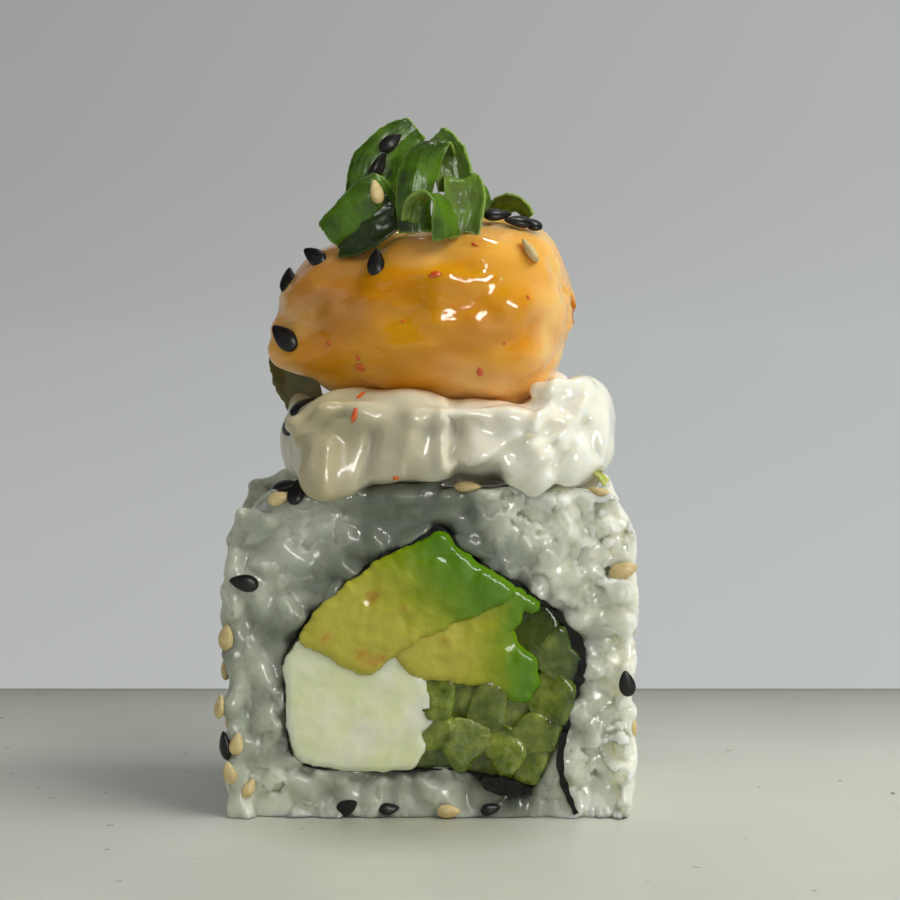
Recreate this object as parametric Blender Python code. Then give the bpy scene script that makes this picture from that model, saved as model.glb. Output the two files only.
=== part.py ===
"""One piece of uramaki roll on a small white cutting board, at its real size.

A ring of rice with sesame is rolled round a sheet of nori, which holds cream cheese, two avocado
slices and cucumber strips. On top lie a spread of cream sauce, a fried prawn in an orange sauce,
and cut spring onion. Sizes are in millimetres. X runs along the cut face, Y from the front cut to
the rear one, and Z up. Heights of the food are above the board's top face.
"""

import math
import random

import bmesh
import bpy
from mathutils import Matrix, Vector
from mathutils.bvhtree import BVHTree

MM = 0.001
GAP = 0.3  # between neighbouring solids

# The board
BOARD_WIDTH = 140.0
BOARD_DEPTH = 100.0
BOARD_THICK = 10.0
BOARD_CORNER = 8.0
BOARD_EDGE = 1.0

# The roll's outline, seen at the cut
ROLL_WIDTH = 42.0
ROLL_HEIGHT = 34.0
ROLL_DEPTH = 23.0
FRONT_CUT = -17.0
REAR_CUT = FRONT_CUT + ROLL_DEPTH
ROLL_MIDDLE = (FRONT_CUT + REAR_CUT) / 2
CORNERS = {"bottom_left": 3.5, "bottom_right": 2.5, "top_right": 6.5, "top_left": 8.5}

# Rice grains and sesame seeds
CORE_INSET = 1.1  # how far the core lies inside the grains' crests
GRAIN_LENGTH = 6.6
GRAIN_THICK = 2.9
OUTER_PITCH = (5.2, 3.9)  # along the outline, and along the depth
FACE_PITCH = 3.5
GRAIN_SUNK = 0.25  # how deep a grain's middle lies below the core's inset surface
SEED_LENGTH = 3.2
SEED_WIDTH = 1.9
SEED_THICK = 0.95
SEED_RAISED = 0.18  # how far a seed's middle lies above the surface, as a share of its thickness
PIECE_SIDES = 6  # sides round a grain or a seed
DROP_HEIGHT = 8.0  # a seed comes down from this far outside
DROP_REACH = 20.0

# The nori sheet: its middle line at the cut, from its outer end at the board round to its inner end
NORI_THICK = 0.55
NORI_LINE = [
    (14.9, 0.5), (14.1, 2.4), (13.3, 5.4), (13.6, 9.2), (14.8, 13.1), (15.6, 16.4), (14.5, 18.7),
    (12.4, 21.3), (9.1, 23.6), (6.1, 25.4), (3.2, 27.5), (1.2, 29.7), (-1.2, 28.4), (-5.0, 26.5),
    (-8.5, 23.8), (-11.3, 21.4), (-13.0, 18.9), (-14.7, 16.4), (-14.6, 13.2), (-14.5, 10.0),
    (-13.9, 6.4), (-11.7, 5.2), (-7.4, 4.8), (-2.4, 4.8), (2.4, 5.0), (4.9, 4.1), (6.6, 2.9),
    (10.4, 2.6),
]
NORI_STEPS = 2  # steps between two of them
NORI_TAIL = 3 * NORI_STEPS  # the steps that lie in the seam, below the filling
# Where the sheet is crumpled thicker: place along the line from 0 to 1, extra thickness, spread
NORI_FOLDS = [(0.205, 0.9, 0.022), (0.42, 0.5, 0.012), (0.985, 0.9, 0.03)]

CHEESE_OUTLINE = [
    (-15.2, 15.2), (-13.7, 16.9), (-13.3, 18.2), (-11.9, 18.0), (-9.7, 16.9), (-8.2, 15.7),
    (-6.5, 15.1), (-5.2, 15.6), (-4.5, 16.4), (-3.6, 16.3), (-2.0, 15.4), (-0.8, 14.0),
    (-0.3, 12.0), (0.0, 10.2), (-1.2, 8.7), (-0.6, 7.2), (-2.0, 4.8), (-14.6, 4.6),
]
AVOCADO_UPPER_OUTLINE = [
    (-13.3, 18.2), (-11.9, 18.0), (-9.7, 16.9), (-8.2, 15.7), (-6.5, 15.1), (-5.2, 15.6),
    (-4.5, 16.4), (-2.9, 17.6), (-0.6, 19.0), (1.0, 19.4), (2.3, 20.2), (4.8, 21.3), (7.2, 22.4),
    (8.6, 23.4), (8.8, 25.0), (1.0, 31.0), (-7.0, 27.5), (-14.5, 20.5),
]
AVOCADO_LOWER_OUTLINE = [
    (-2.9, 17.6), (-0.6, 19.0), (1.0, 19.4), (2.3, 20.2), (4.8, 21.3), (7.2, 22.4), (8.6, 23.4),
    (11.4, 22.6), (12.0, 21.2), (9.3, 21.7), (8.8, 20.0), (8.2, 19.4), (9.3, 17.3), (10.5, 16.3),
    (10.5, 15.0), (11.2, 13.8), (10.2, 13.1), (10.0, 12.1), (9.0, 12.2), (6.0, 13.7),
    (2.5, 14.4), (-0.7, 14.8),
]
# Cucumber strips pressed together: each strip's middle, and how far it stands out of the cut
STRIP_MIDDLES = [
    (0.9, 12.2, 0.2), (3.4, 12.0, -0.5), (5.9, 11.3, 0.1), (8.6, 10.9, -0.7), (12.2, 12.0, 0.3),
    (10.6, 8.9, 0.35), (0.4, 8.6, 0.15), (3.6, 7.6, 0.3), (7.3, 6.9, 0.2), (10.9, 5.2, -0.1),
    (0.6, 5.9, -0.5), (5.6, 5.9, -0.8), (10.5, 19.2, -0.1), (13.5, 17.0, 0.25),
]
STRIP_REACH = 2.35
STRIP_SIDES = 10
STRIP_SPACING = 0.3  # from each strip to the line half way to the next
STRIP_SET_BACK = 0.2
FILLING_INSET = 0.15
# How far these stand out of the cut
CHEESE_STAND_OUT = 0.1
AVOCADO_UPPER_STAND_OUT = 0.15
AVOCADO_LOWER_STAND_OUT = -0.05
NORI_SET_BACK = 0.25
CUTTER_REACH = 5.0  # how far a cutting shape runs past both cuts

# The cream sauce: blobs that flow together, as middle and half sizes
CREAM_BLOBS = [
    ((0.6, -5.5, 37.0), (14.2, 9.8, 5.4)),
    ((-9.6, -13.0, 38.0), (4.6, 4.2, 5.0)),
    ((-9.6, -17.0, 34.9), (3.4, 1.5, 2.4)),
    ((-3.0, -13.8, 39.2), (5.6, 4.0, 4.4)),
    ((0.4, -17.2, 36.4), (2.0, 1.2, 2.0)),
    ((6.6, -14.0, 38.0), (6.0, 4.0, 3.8)),
    ((10.6, -17.2, 35.4), (1.8, 1.4, 2.6)),
    ((14.0, -16.4, 36.2), (1.7, 1.4, 2.4)),
    ((14.0, -10.6, 39.4), (3.8, 5.2, 4.4)),
    ((16.0, -9.4, 42.0), (1.7, 2.2, 2.0)),
    ((12.0, -2.6, 42.2), (2.8, 2.8, 2.4)),
    ((-14.6, 1.0, 37.4), (2.0, 3.0, 3.2)),
    ((-12.9, -5.4, 37.4), (3.6, 5.6, 3.4)),
    ((11.6, 1.4, 37.8), (4.6, 3.4, 4.0)),
    ((-0.6, 2.4, 37.6), (7.0, 3.0, 4.0)),
]
CREAM_STEP = 1.7  # the grid that the sauce's surface is made on

# The fried prawn: an egg shape with lobes
PRAWN_MIDDLE = (-0.7, -6.2, 50.4)
PRAWN_HALF = (15.0, 9.9, 9.8)
PRAWN_BLUNT = 2.5  # 2 is an ellipse, and more is blunter at both ends
PRAWN_TAPER = 0.2
PRAWN_TILT = 5.0  # degrees, the narrow end down
# Lobes of the batter: azimuth and elevation in degrees, height as a share, and spread
PRAWN_LOBES = [
    (-74.0, -16.0, 0.16, 0.05), (-74.0, 30.0, 0.05, 0.08), (-48.0, 6.0, -0.05, 0.05),
    (-8.0, 30.0, 0.04, 0.12), (38.0, 28.0, 0.04, 0.10), (30.0, -38.0, 0.05, 0.10),
    (86.0, -4.0, 0.05, 0.02), (118.0, 20.0, 0.05, 0.10), (160.0, -10.0, 0.06, 0.12),
    (205.0, 25.0, -0.04, 0.10), (-120.0, -5.0, 0.05, 0.10),
]
# Sesame on the prawn, pressed on from the front: X, height, and spin in degrees
PRAWN_FRONT_SEEDS = [
    (-5.3, 56.3, 80.0), (-14.7, 48.4, 140.0), (-14.4, 54.0, 100.0), (-11.6, 56.6, 150.0),
    (10.0, 57.9, 55.0),
]
# and from above: X, depth, and spin
PRAWN_TOP_SEEDS = [(7.0, -9.6, 5.0), (9.2, -10.4, 165.0), (10.6, -9.4, 20.0), (-8.0, 0.6, 40.0),
                   (3.0, 1.4, 120.0), (12.0, -1.0, 75.0)]

# Spring onion: the middle line of each cut piece, its width's direction, width and curl in degrees
LEAVES = {
    "onion_left": ([(-8.6, -11.6, 58.4), (-7.4, -11.8, 60.6), (-5.8, -11.0, 62.2),
                    (-4.2, -9.8, 63.2)], (0.62, -0.3, -0.66), 6.4, 120.0),
    "onion_back": ([(-9.0, -5.6, 60.0), (-6.6, -4.8, 65.2), (-3.8, -4.6, 68.4), (-1.6, -4.9, 69.4),
                    (-0.3, -5.8, 68.4)], (0.55, 0.35, -0.72), 4.8, 50.0),
    "onion_middle": ([(-2.4, -13.2, 59.4), (-2.3, -13.0, 62.4), (-1.4, -12.0, 65.4),
                      (0.2, -10.0, 67.8), (1.2, -8.6, 66.4), (1.6, -8.2, 63.4)],
                     (1.0, 0.1, 0.1), 3.1, 45.0),
    "onion_right": ([(0.9, -3.9, 67.5), (2.2, -4.3, 67.6), (3.3, -4.9, 65.6), (3.8, -5.2, 62.6)],
                    (-0.62, -0.35, -0.6), 3.2, 60.0),
    "onion_front": ([(2.4, -10.4, 64.0), (3.3, -11.6, 62.8), (3.6, -12.2, 60.8), (3.0, -12.4, 59.0)],
                    (1.0, 0.1, 0.12), 3.4, 60.0),
    "onion_arch": ([(-2.1, -15.2, 58.9), (-1.6, -15.3, 61.2), (0.0, -15.2, 62.3), (1.4, -15.0, 61.0),
                    (2.0, -14.8, 58.4)], (0.1, 0.9, -0.4), 2.2, 20.0),
    "onion_ring": ([(5.3, -8.0, 63.2), (6.3, -7.8, 62.2), (6.2, -7.8, 60.4)],
                   (0.35, 0.9, 0.0), 2.0, 60.0),
    "onion_flake": ([(6.8, -2.4, 61.1), (8.6, -2.8, 61.9), (10.6, -3.2, 60.8)],
                    (0.1, 0.9, 0.5), 2.4, 30.0),
    "onion_side": ([(-16.0, 0.2, 46.4), (-15.1, -0.1, 43.9), (-14.2, -0.6, 41.5)],
                   (0.75, 0.25, 0.6), 4.4, 40.0),
    "onion_white": ([(15.9, -14.6, 35.5), (16.9, -14.6, 35.1), (17.9, -14.6, 34.0)],
                    (0.2, 0.95, 0.1), 1.8, 30.0),
}
LEAF_THICK = 0.45
LEAF_STEPS = 7
LEAF_CROSS = 4
# Sesame caught in the leaves: leaf, place along its middle line, place across, and spin
LEAF_SEEDS = [("onion_back", 0.62, -0.2, 25.0), ("onion_left", 0.84, 0.34, 75.0)]

# Sesame at the rice's cut edges: X, height, and spin in degrees
FRONT_SEEDS = [
    (-19.0, 24.2, 170.0), (19.6, 25.3, 20.0), (19.4, 14.1, 100.0), (-8.3, 0.9, 30.0),
    (-4.1, 1.0, 5.0), (2.0, 0.9, 0.0), (6.2, 1.1, 15.0),
]
# Sesame on the rolled sides: share of the outline from bottom left going clockwise, depth, spin
SIDE_SEEDS = [
    (0.045, -14.6, 80.0), (0.085, -15.0, 100.0), (0.105, -13.6, 70.0), (0.16, -15.2, 95.0),
    (0.235, -15.0, 60.0), (0.12, -7.0, 20.0), (0.19, -9.5, 130.0), (0.07, -3.0, 50.0),
    (0.21, -2.0, 10.0), (0.15, 3.0, 75.0), (0.27, 1.5, 100.0), (0.315, -10.5, 40.0),
    (0.33, -8.4, 110.0), (0.70, -14.8, 35.0), (0.712, -12.8, 55.0), (0.77, -9.0, 15.0),
    (0.81, -3.0, 120.0), (0.85, -12.0, 85.0), (0.87, 1.5, 30.0), (0.915, -7.5, 60.0),
    (0.94, -1.0, 140.0), (0.96, -13.5, 10.0),
]
REAR_SEEDS = [(-17.5, 8.0, 40.0), (18.3, 18.5, 100.0), (-16.8, 27.5, 150.0), (4.0, 1.0, 5.0)]

rng = random.Random(11)


def clear_scene():
    for obj in list(bpy.data.objects):
        bpy.data.objects.remove(obj)


def material(name, colour, roughness):
    made = bpy.data.materials.new(name)
    made.use_nodes = True
    shader = made.node_tree.nodes["Principled BSDF"]
    shader.inputs["Base Color"].default_value = (*colour, 1.0)
    shader.inputs["Roughness"].default_value = roughness
    return made


def add_mesh(name, points, faces, finish, parent=None):
    """An object from points in millimetres, with its faces turned outwards."""
    mesh = bpy.data.meshes.new(name)
    mesh.from_pydata([Vector(p) * MM for p in points], [], faces)
    bm = bmesh.new()
    bm.from_mesh(mesh)
    bmesh.ops.recalc_face_normals(bm, faces=bm.faces)
    bm.to_mesh(mesh)
    bm.free()
    obj = bpy.data.objects.new(name, mesh)
    bpy.context.scene.collection.objects.link(obj)
    if finish:
        mesh.materials.append(finish)
    if parent:
        obj.parent = parent
    return obj


def shade(obj, degrees=40.0):
    obj.data.shade_smooth()
    obj.data.set_sharp_from_angle(angle=math.radians(degrees))


def apply_modifiers(obj):
    graph = bpy.context.evaluated_depsgraph_get()
    bpy.context.view_layer.update()
    made = bpy.data.meshes.new_from_object(obj.evaluated_get(graph))
    obj.modifiers.clear()
    obj.data = made


def boolean(obj, others, operation):
    """Cuts, joins or keeps what obj shares with others, then removes them."""
    helpers = bpy.data.collections.new("helpers_" + obj.name)
    bpy.context.scene.collection.children.link(helpers)
    for other in others:
        for owner in list(other.users_collection):
            owner.objects.unlink(other)
        helpers.objects.link(other)
    modifier = obj.modifiers.new(operation.lower(), "BOOLEAN")
    modifier.operand_type = "COLLECTION"
    modifier.collection = helpers
    modifier.operation = operation
    modifier.solver = "EXACT"
    apply_modifiers(obj)
    for other in others:
        bpy.data.objects.remove(other)
    bpy.data.collections.remove(helpers)
    return obj


def smooth_line(points, steps):
    """A Catmull-Rom curve through the points, with this many steps between two of them."""
    points = [Vector(p) for p in points]
    last = len(points) - 1
    line = []
    for i in range(last):
        a, b, c, d = (points[min(max(i + k, 0), last)] for k in (-1, 0, 1, 2))
        for step in range(steps):
            t = step / steps
            line.append(
                0.5 * (2 * b + (c - a) * t + (2 * a - 5 * b + 4 * c - d) * t**2
                       + (3 * b - a - 3 * c + d) * t**3)
            )
    return line + [points[-1]]


def normals_of(line):
    """Unit normals to the left of a flat line."""
    last = len(line) - 1
    found = []
    for i in range(last + 1):
        along = (line[min(i + 1, last)] - line[max(i - 1, 0)]).normalized()
        found.append(Vector((-along.y, along.x)))
    return found


def area_of(outline):
    return sum(a.x * b.y - b.x * a.y for a, b in zip(outline, outline[1:] + outline[:1])) / 2


def grown(outline, distance):
    """The outline moved outwards by a distance, or inwards if that is negative, edge by edge."""
    outline = [Vector(p) for p in outline]
    if area_of(outline) < 0:
        outline.reverse()
    count = len(outline)
    moved = []
    for i, point in enumerate(outline):
        before = (point - outline[i - 1]).normalized()
        after = (outline[(i + 1) % count] - point).normalized()
        out_before = Vector((before.y, -before.x))
        out_after = Vector((after.y, -after.x))
        middle = (out_before + out_after).normalized()
        moved.append(point + middle * distance / max(middle.dot(out_after), 0.5))
    return moved


def prism(name, outline, front, rear, finish=None, parent=None):
    """A solid with this outline (X and height), from depth front to depth rear."""
    count = len(outline)
    points = [(p[0], depth, p[1]) for depth in (front, rear) for p in outline]
    faces = [tuple(range(count)), tuple(reversed(range(count, 2 * count)))]
    for i in range(count):
        j = (i + 1) % count
        faces.append((i, count + i, count + j, j))
    return add_mesh(name, points, faces, finish, parent)


def rounded_outline(inset, bottom, arc_steps=5):
    """The roll's outline, set in from its sides and top, with its bottom at the height given."""
    half = ROLL_WIDTH / 2 - inset
    top = ROLL_HEIGHT - inset
    corners = [
        (half, bottom, CORNERS["bottom_right"], -90.0),
        (half, top, CORNERS["top_right"], 0.0),
        (-half, top, CORNERS["top_left"], 90.0),
        (-half, bottom, CORNERS["bottom_left"], 180.0),
    ]
    outline = []
    for x, z, radius, start in corners:
        middle = Vector((x - math.copysign(radius, x), z + (radius if z == bottom else -radius)))
        for step in range(arc_steps + 1):
            angle = math.radians(start + 90.0 * step / arc_steps)
            outline.append(middle + radius * Vector((math.cos(angle), math.sin(angle))))
    return outline


def nori_sides(extra):
    """Both sides of the sheet, each moved out by extra, as lines from its outer to its inner end."""
    line = smooth_line(NORI_LINE, NORI_STEPS)
    left, right = [], []
    for i, (point, normal) in enumerate(zip(line, normals_of(line))):
        place = i / (len(line) - 1)
        fold = sum(h * math.exp(-(((place - at) / spread) ** 2)) for at, h, spread in NORI_FOLDS)
        # Folds swell to the inner side, which is on the left of this line.
        left.append(point + normal * (NORI_THICK / 2 + fold + extra))
        right.append(point - normal * (NORI_THICK / 2 + extra))
    return left, right


def filling_space():
    """The outline of the space inside the sheet, a gap clear of it."""
    left, _ = nori_sides(GAP)
    inner = left[NORI_TAIL:]
    return [p for i, p in enumerate(inner) if i == 0 or (p - inner[i - 1]).length > 0.05]


def ringed_piece(rings, length, width, thick):
    """A small piece along X from rings of (place along it, share of its width), with pointed ends."""
    points = [(-0.5 * length, 0.0, 0.0)]
    for along, share in rings:
        for side in range(PIECE_SIDES):
            angle = 2 * math.pi * side / PIECE_SIDES
            points.append((along * length, math.cos(angle) * share * width / 2,
                           math.sin(angle) * share * thick / 2))
    points.append((0.5 * length, 0.0, 0.0))
    return points, capped_faces(PIECE_SIDES, len(rings))


def grain_mesh(length, thick):
    """A rice grain: points and faces."""
    return ringed_piece([(-0.36, 0.74), (0.0, 1.0), (0.36, 0.74)], length, thick, thick)


def seed_mesh():
    """A sesame seed, a flat drop: points and faces."""
    rings = [(-0.34, 0.72), (-0.08, 1.0), (0.24, 0.66)]
    return ringed_piece(rings, SEED_LENGTH, SEED_WIDTH, SEED_THICK)


def capped_faces(sides, rings):
    last = 1 + sides * rings
    faces = []
    for side in range(sides):
        after = (side + 1) % sides
        faces.append((0, 1 + after, 1 + side))
        for ring in range(rings - 1):
            low, high = 1 + ring * sides, 1 + (ring + 1) * sides
            faces.append((low + side, low + after, high + after, high + side))
        faces.append((last, last - sides + side, last - sides + after))
    return faces


def standing_on(place, outward, spin_degrees):
    """The matrix that lays a piece's XY plane on a surface, turned about the outward direction."""
    up = Vector(outward).normalized()
    base = up.to_track_quat("Z", "Y").to_matrix().to_4x4()
    return Matrix.Translation(place) @ base @ Matrix.Rotation(math.radians(spin_degrees), 4, "Z")


def moved_points(points, matrix):
    return [matrix @ Vector(p) for p in points]


def tree_of(objects):
    """A search tree of what these objects show, in millimetres above the board's top."""
    graph = bpy.context.evaluated_depsgraph_get()
    points, faces = [], []
    for obj in objects:
        mesh = obj.evaluated_get(graph).to_mesh()
        start = len(points)
        points += [v.co / MM for v in mesh.vertices]
        faces += [tuple(start + i for i in p.vertices) for p in mesh.polygons]
    return BVHTree.FromPolygons(points, faces)


def drop_onto(tree, point, outward):
    """Where a line from outside meets the surface, or None if it misses."""
    out = Vector(outward).normalized()
    hit, normal, _, _ = tree.ray_cast(Vector(point) + out * DROP_HEIGHT, -out, DROP_REACH)
    return hit, normal


def keep_main_body(obj):
    """Removes the loose scraps that a Boolean leaves beside the main body."""
    bm = bmesh.new()
    bm.from_mesh(obj.data)
    waiting = set(bm.verts)
    bodies = []
    while waiting:
        queue = [waiting.pop()]
        body = list(queue)
        while queue:
            for edge in queue.pop().link_edges:
                for vert in edge.verts:
                    if vert in waiting:
                        waiting.remove(vert)
                        queue.append(vert)
                        body.append(vert)
        bodies.append(body)
    bodies.sort(key=len)
    for body in bodies[:-1]:
        bmesh.ops.delete(bm, geom=body, context="VERTS")
    bm.to_mesh(obj.data)
    bm.free()
    print(obj.name, "had", len(bodies) - 1, "loose scraps")
    return obj


def is_clear(points, faces, tree, middle):
    """Whether a small piece, made a gap larger, keeps off everything in the tree."""
    reach = max((Vector(p) - middle).length for p in points)
    swollen = [middle + (Vector(p) - middle) * (1 + GAP / reach * 1.6) for p in points]
    if BVHTree.FromPolygons(swollen, faces).overlap(tree):
        return False
    hit, normal, _, _ = tree.find_nearest(middle)
    return hit is None or (middle - hit).dot(normal) > 0


def make_board():
    bm = bmesh.new()
    bmesh.ops.create_cube(bm, size=1.0)
    bmesh.ops.scale(bm, verts=bm.verts, vec=(BOARD_WIDTH * MM, BOARD_DEPTH * MM, BOARD_THICK * MM))
    bmesh.ops.translate(bm, verts=bm.verts, vec=(0, 0, BOARD_THICK / 2 * MM))
    upright = [e for e in bm.edges if abs(e.verts[0].co.z - e.verts[1].co.z) > MM]
    bmesh.ops.bevel(bm, geom=upright, offset=BOARD_CORNER * MM, segments=6, affect="EDGES",
                    profile=0.5)
    level = [e for e in bm.edges if abs(e.verts[0].co.z - e.verts[1].co.z) < MM]
    bmesh.ops.bevel(bm, geom=level, offset=BOARD_EDGE * MM, segments=2, affect="EDGES",
                    profile=0.5)
    mesh = bpy.data.meshes.new("board")
    bm.to_mesh(mesh)
    bm.free()
    board = bpy.data.objects.new("board", mesh)
    bpy.context.scene.collection.objects.link(board)
    mesh.materials.append(material("board_plastic", (0.62, 0.64, 0.56), 0.35))
    shade(board, 30.0)
    return board


def make_nori(base):
    left, right = nori_sides(0.0)
    outline = left + right[::-1]
    return prism("nori", outline, FRONT_CUT + NORI_SET_BACK, REAR_CUT - NORI_SET_BACK,
                 material("nori_sheet", (0.008, 0.014, 0.006), 0.5), base)


def filling_piece(name, outline, stand_out, finish, base, minus=()):
    """A piece of filling: its own outline, kept inside the sheet and off its neighbours."""
    piece = prism(name, outline, FRONT_CUT - stand_out, REAR_CUT + stand_out, finish, base)
    space = prism("space", filling_space(), FRONT_CUT - CUTTER_REACH, REAR_CUT + CUTTER_REACH,
                  None, base)
    boolean(piece, [space], "INTERSECT")
    if minus:
        cutters = [prism(f"cutter_{i}", grown(o, GAP - FILLING_INSET), FRONT_CUT - CUTTER_REACH,
                         REAR_CUT + CUTTER_REACH, None, base) for i, o in enumerate(minus)]
        boolean(piece, cutters, "DIFFERENCE")
    return piece


def nearer_side(outline, own, other):
    """The part of a convex outline that is nearer to own than to other, by a spacing."""
    along = (other - own).normalized()
    limit = along.dot((own + other) / 2) - STRIP_SPACING
    kept = []
    for i, point in enumerate(outline):
        after = outline[(i + 1) % len(outline)]
        here, there = along.dot(point) - limit, along.dot(after) - limit
        if here <= 0:
            kept.append(point)
        if here * there < 0:
            kept.append(point.lerp(after, here / (here - there)))
    return kept


def strip_outline(index):
    """A strip's cut end: a round-cornered block, pressed flat where it meets other strips."""
    own = Vector(STRIP_MIDDLES[index][:2])
    outline = [own + STRIP_REACH * Vector((math.cos(a), math.sin(a)))
               for a in (2 * math.pi * i / STRIP_SIDES for i in range(STRIP_SIDES))]
    for other, row in enumerate(STRIP_MIDDLES):
        if other != index:
            outline = nearer_side(outline, own, Vector(row[:2]))
    return [p for i, p in enumerate(outline) if (p - outline[i - 1]).length > 0.25]


def make_filling(base):
    cheese = filling_piece("cream_cheese", grown(CHEESE_OUTLINE, -FILLING_INSET), CHEESE_STAND_OUT,
                           material("cheese", (0.60, 0.60, 0.42), 0.45), base)
    flesh = material("avocado_flesh", (0.34, 0.36, 0.05), 0.4)
    upper = filling_piece("avocado_upper", grown(AVOCADO_UPPER_OUTLINE, -FILLING_INSET),
                          AVOCADO_UPPER_STAND_OUT, flesh, base)
    lower = filling_piece("avocado_lower", grown(AVOCADO_LOWER_OUTLINE, -FILLING_INSET),
                          AVOCADO_LOWER_STAND_OUT, flesh, base)
    pieces = [cheese, upper, lower]
    cucumber = material("cucumber", (0.16, 0.22, 0.06), 0.3)
    taken = (CHEESE_OUTLINE, AVOCADO_UPPER_OUTLINE, AVOCADO_LOWER_OUTLINE)
    for index, (_, _, stand_out) in enumerate(STRIP_MIDDLES):
        pieces.append(filling_piece(f"cucumber_{index + 1:02d}", strip_outline(index),
                                    stand_out - STRIP_SET_BACK, cucumber, base, taken))
    return pieces


def make_cream(base, prawn):
    """Metaballs flow together as thick sauce does; the rice and the prawn then press into them."""
    ball = bpy.data.metaballs.new("cream_flow")
    # Metaballs have no grid finer than 5 mm, so the sauce is made larger and then shrunk.
    larger = 100.0
    ball.resolution = CREAM_STEP * MM * larger
    ball.threshold = 0.3
    for middle, half in CREAM_BLOBS:
        element = ball.elements.new(type="ELLIPSOID")
        element.co = Vector(middle) * MM * larger
        element.radius = 1.0
        element.stiffness = 1.0
        # At this threshold a lone blob's surface lies at 0.575 of its reach.
        sizes = [h * MM * larger / 0.575 for h in half]
        element.size_x, element.size_y, element.size_z = sizes
    flow = bpy.data.objects.new("cream_flow", ball)
    bpy.context.scene.collection.objects.link(flow)
    bpy.context.view_layer.update()
    graph = bpy.context.evaluated_depsgraph_get()
    mesh = bpy.data.meshes.new_from_object(flow.evaluated_get(graph))
    mesh.transform(Matrix.Scale(1 / larger, 4))
    bpy.data.objects.remove(flow)
    cream = bpy.data.objects.new("cream", mesh)
    bpy.context.scene.collection.objects.link(cream)
    cream.parent = base
    mesh.materials.clear()
    mesh.materials.append(material("cream_sauce", (0.62, 0.60, 0.44), 0.25))
    roof = prism("roof", grown(rounded_outline(CORE_INSET, GAP), GAP), FRONT_CUT + CORE_INSET - GAP,
                 REAR_CUT - CORE_INSET + GAP, None, base)
    press = prawn_body("press", base, grow=GAP)
    boolean(cream, [roof, press], "DIFFERENCE")
    return cream


def prawn_point(direction, grow=0.0):
    """The point of the prawn's surface in this direction from its middle."""
    share = 1.0
    for azimuth, elevation, height, spread in PRAWN_LOBES:
        share += height * math.exp((direction.dot(aimed(azimuth, elevation)) - 1) / spread)
    taper = 1 + PRAWN_TAPER * direction.x
    round_share = math.hypot(direction.y, direction.z)
    share /= (abs(direction.x) ** PRAWN_BLUNT + round_share**PRAWN_BLUNT) ** (1 / PRAWN_BLUNT)
    half = Vector(PRAWN_HALF)
    point = Vector((direction.x * half.x, direction.y * half.y * taper,
                    direction.z * half.z * taper)) * share
    point += direction * grow
    return Matrix.Rotation(math.radians(-PRAWN_TILT), 3, "Y") @ point + Vector(PRAWN_MIDDLE)


def aimed(azimuth, elevation):
    """A unit direction: azimuth 0 is to the front, and 90 to the right."""
    a, e = math.radians(azimuth), math.radians(elevation)
    return Vector((math.sin(a) * math.cos(e), -math.cos(a) * math.cos(e), math.sin(e)))


def prawn_body(name, base, grow=0.0, finish=None):
    bm = bmesh.new()
    bmesh.ops.create_icosphere(bm, subdivisions=3, radius=1.0)
    points = [prawn_point(v.co.normalized(), grow) for v in bm.verts]
    faces = [tuple(v.index for v in f.verts) for f in bm.faces]
    bm.free()
    return add_mesh(name, points, faces, finish, base)


def seeds_at(places, name, base, tree=None):
    """Low seeds lying at (point, outward direction, spin), those that keep off the tree."""
    made = []
    points, faces = seed_mesh()
    for i, (point, outward, spin) in enumerate(places):
        lifted = Vector(point) + Vector(outward).normalized() * SEED_THICK * SEED_RAISED
        moved = moved_points(points, standing_on(lifted, outward, spin))
        above_board = Vector((0.0, 0.0, max(0.0, GAP - min(p.z for p in moved))))
        moved = [p + above_board for p in moved]
        if tree is None or is_clear(moved, faces, tree, lifted + above_board):
            made.append(add_mesh(f"{name}_{i}", moved, faces, None, base))
    return made


def make_prawn(base):
    prawn = prawn_body("prawn", base, finish=material("prawn_sauce", (0.60, 0.28, 0.06), 0.3))
    surface = tree_of([prawn])
    depth, height = PRAWN_MIDDLE[1:]
    aims = [((x, depth - 10.0, z), (0, -1, 0), spin) for x, z, spin in PRAWN_FRONT_SEEDS]
    aims += [((x, y, height + 10.0), (0, 0, 1), spin) for x, y, spin in PRAWN_TOP_SEEDS]
    places = []
    for start, outward, spin in aims:
        hit, normal = drop_onto(surface, start, outward)
        if hit:
            places.append((hit, normal, spin))
    boolean(prawn, seeds_at(places, "prawn_seed", base), "UNION")
    return prawn


def leaf_frame(name):
    """For each step along a leaf: its middle point, across direction and face normal."""
    spine, across, _, _ = LEAVES[name]
    line = smooth_line(spine, LEAF_STEPS)
    picks = [line[round(i * (len(line) - 1) / LEAF_STEPS)] for i in range(LEAF_STEPS + 1)]
    frames = []
    for i, point in enumerate(picks):
        along = (picks[min(i + 1, LEAF_STEPS)] - picks[max(i - 1, 0)]).normalized()
        side = Vector(across)
        side = (side - along * side.dot(along)).normalized()
        frames.append((point, side, along.cross(side)))
    return frames


def leaf_point(name, step, place, lift=0.0):
    """A point of the leaf: place runs across from -0.5 to 0.5, and lift off its middle surface."""
    _, _, width, curl = LEAVES[name]
    point, side, up = leaf_frame(name)[step]
    curve = math.radians(curl)
    angle = curve * place
    radius = width / curve
    across = side * math.sin(angle) * radius - up * (1 - math.cos(angle)) * radius
    outward = side * math.sin(angle) + up * math.cos(angle)
    return point + across + outward * lift, outward


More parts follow.
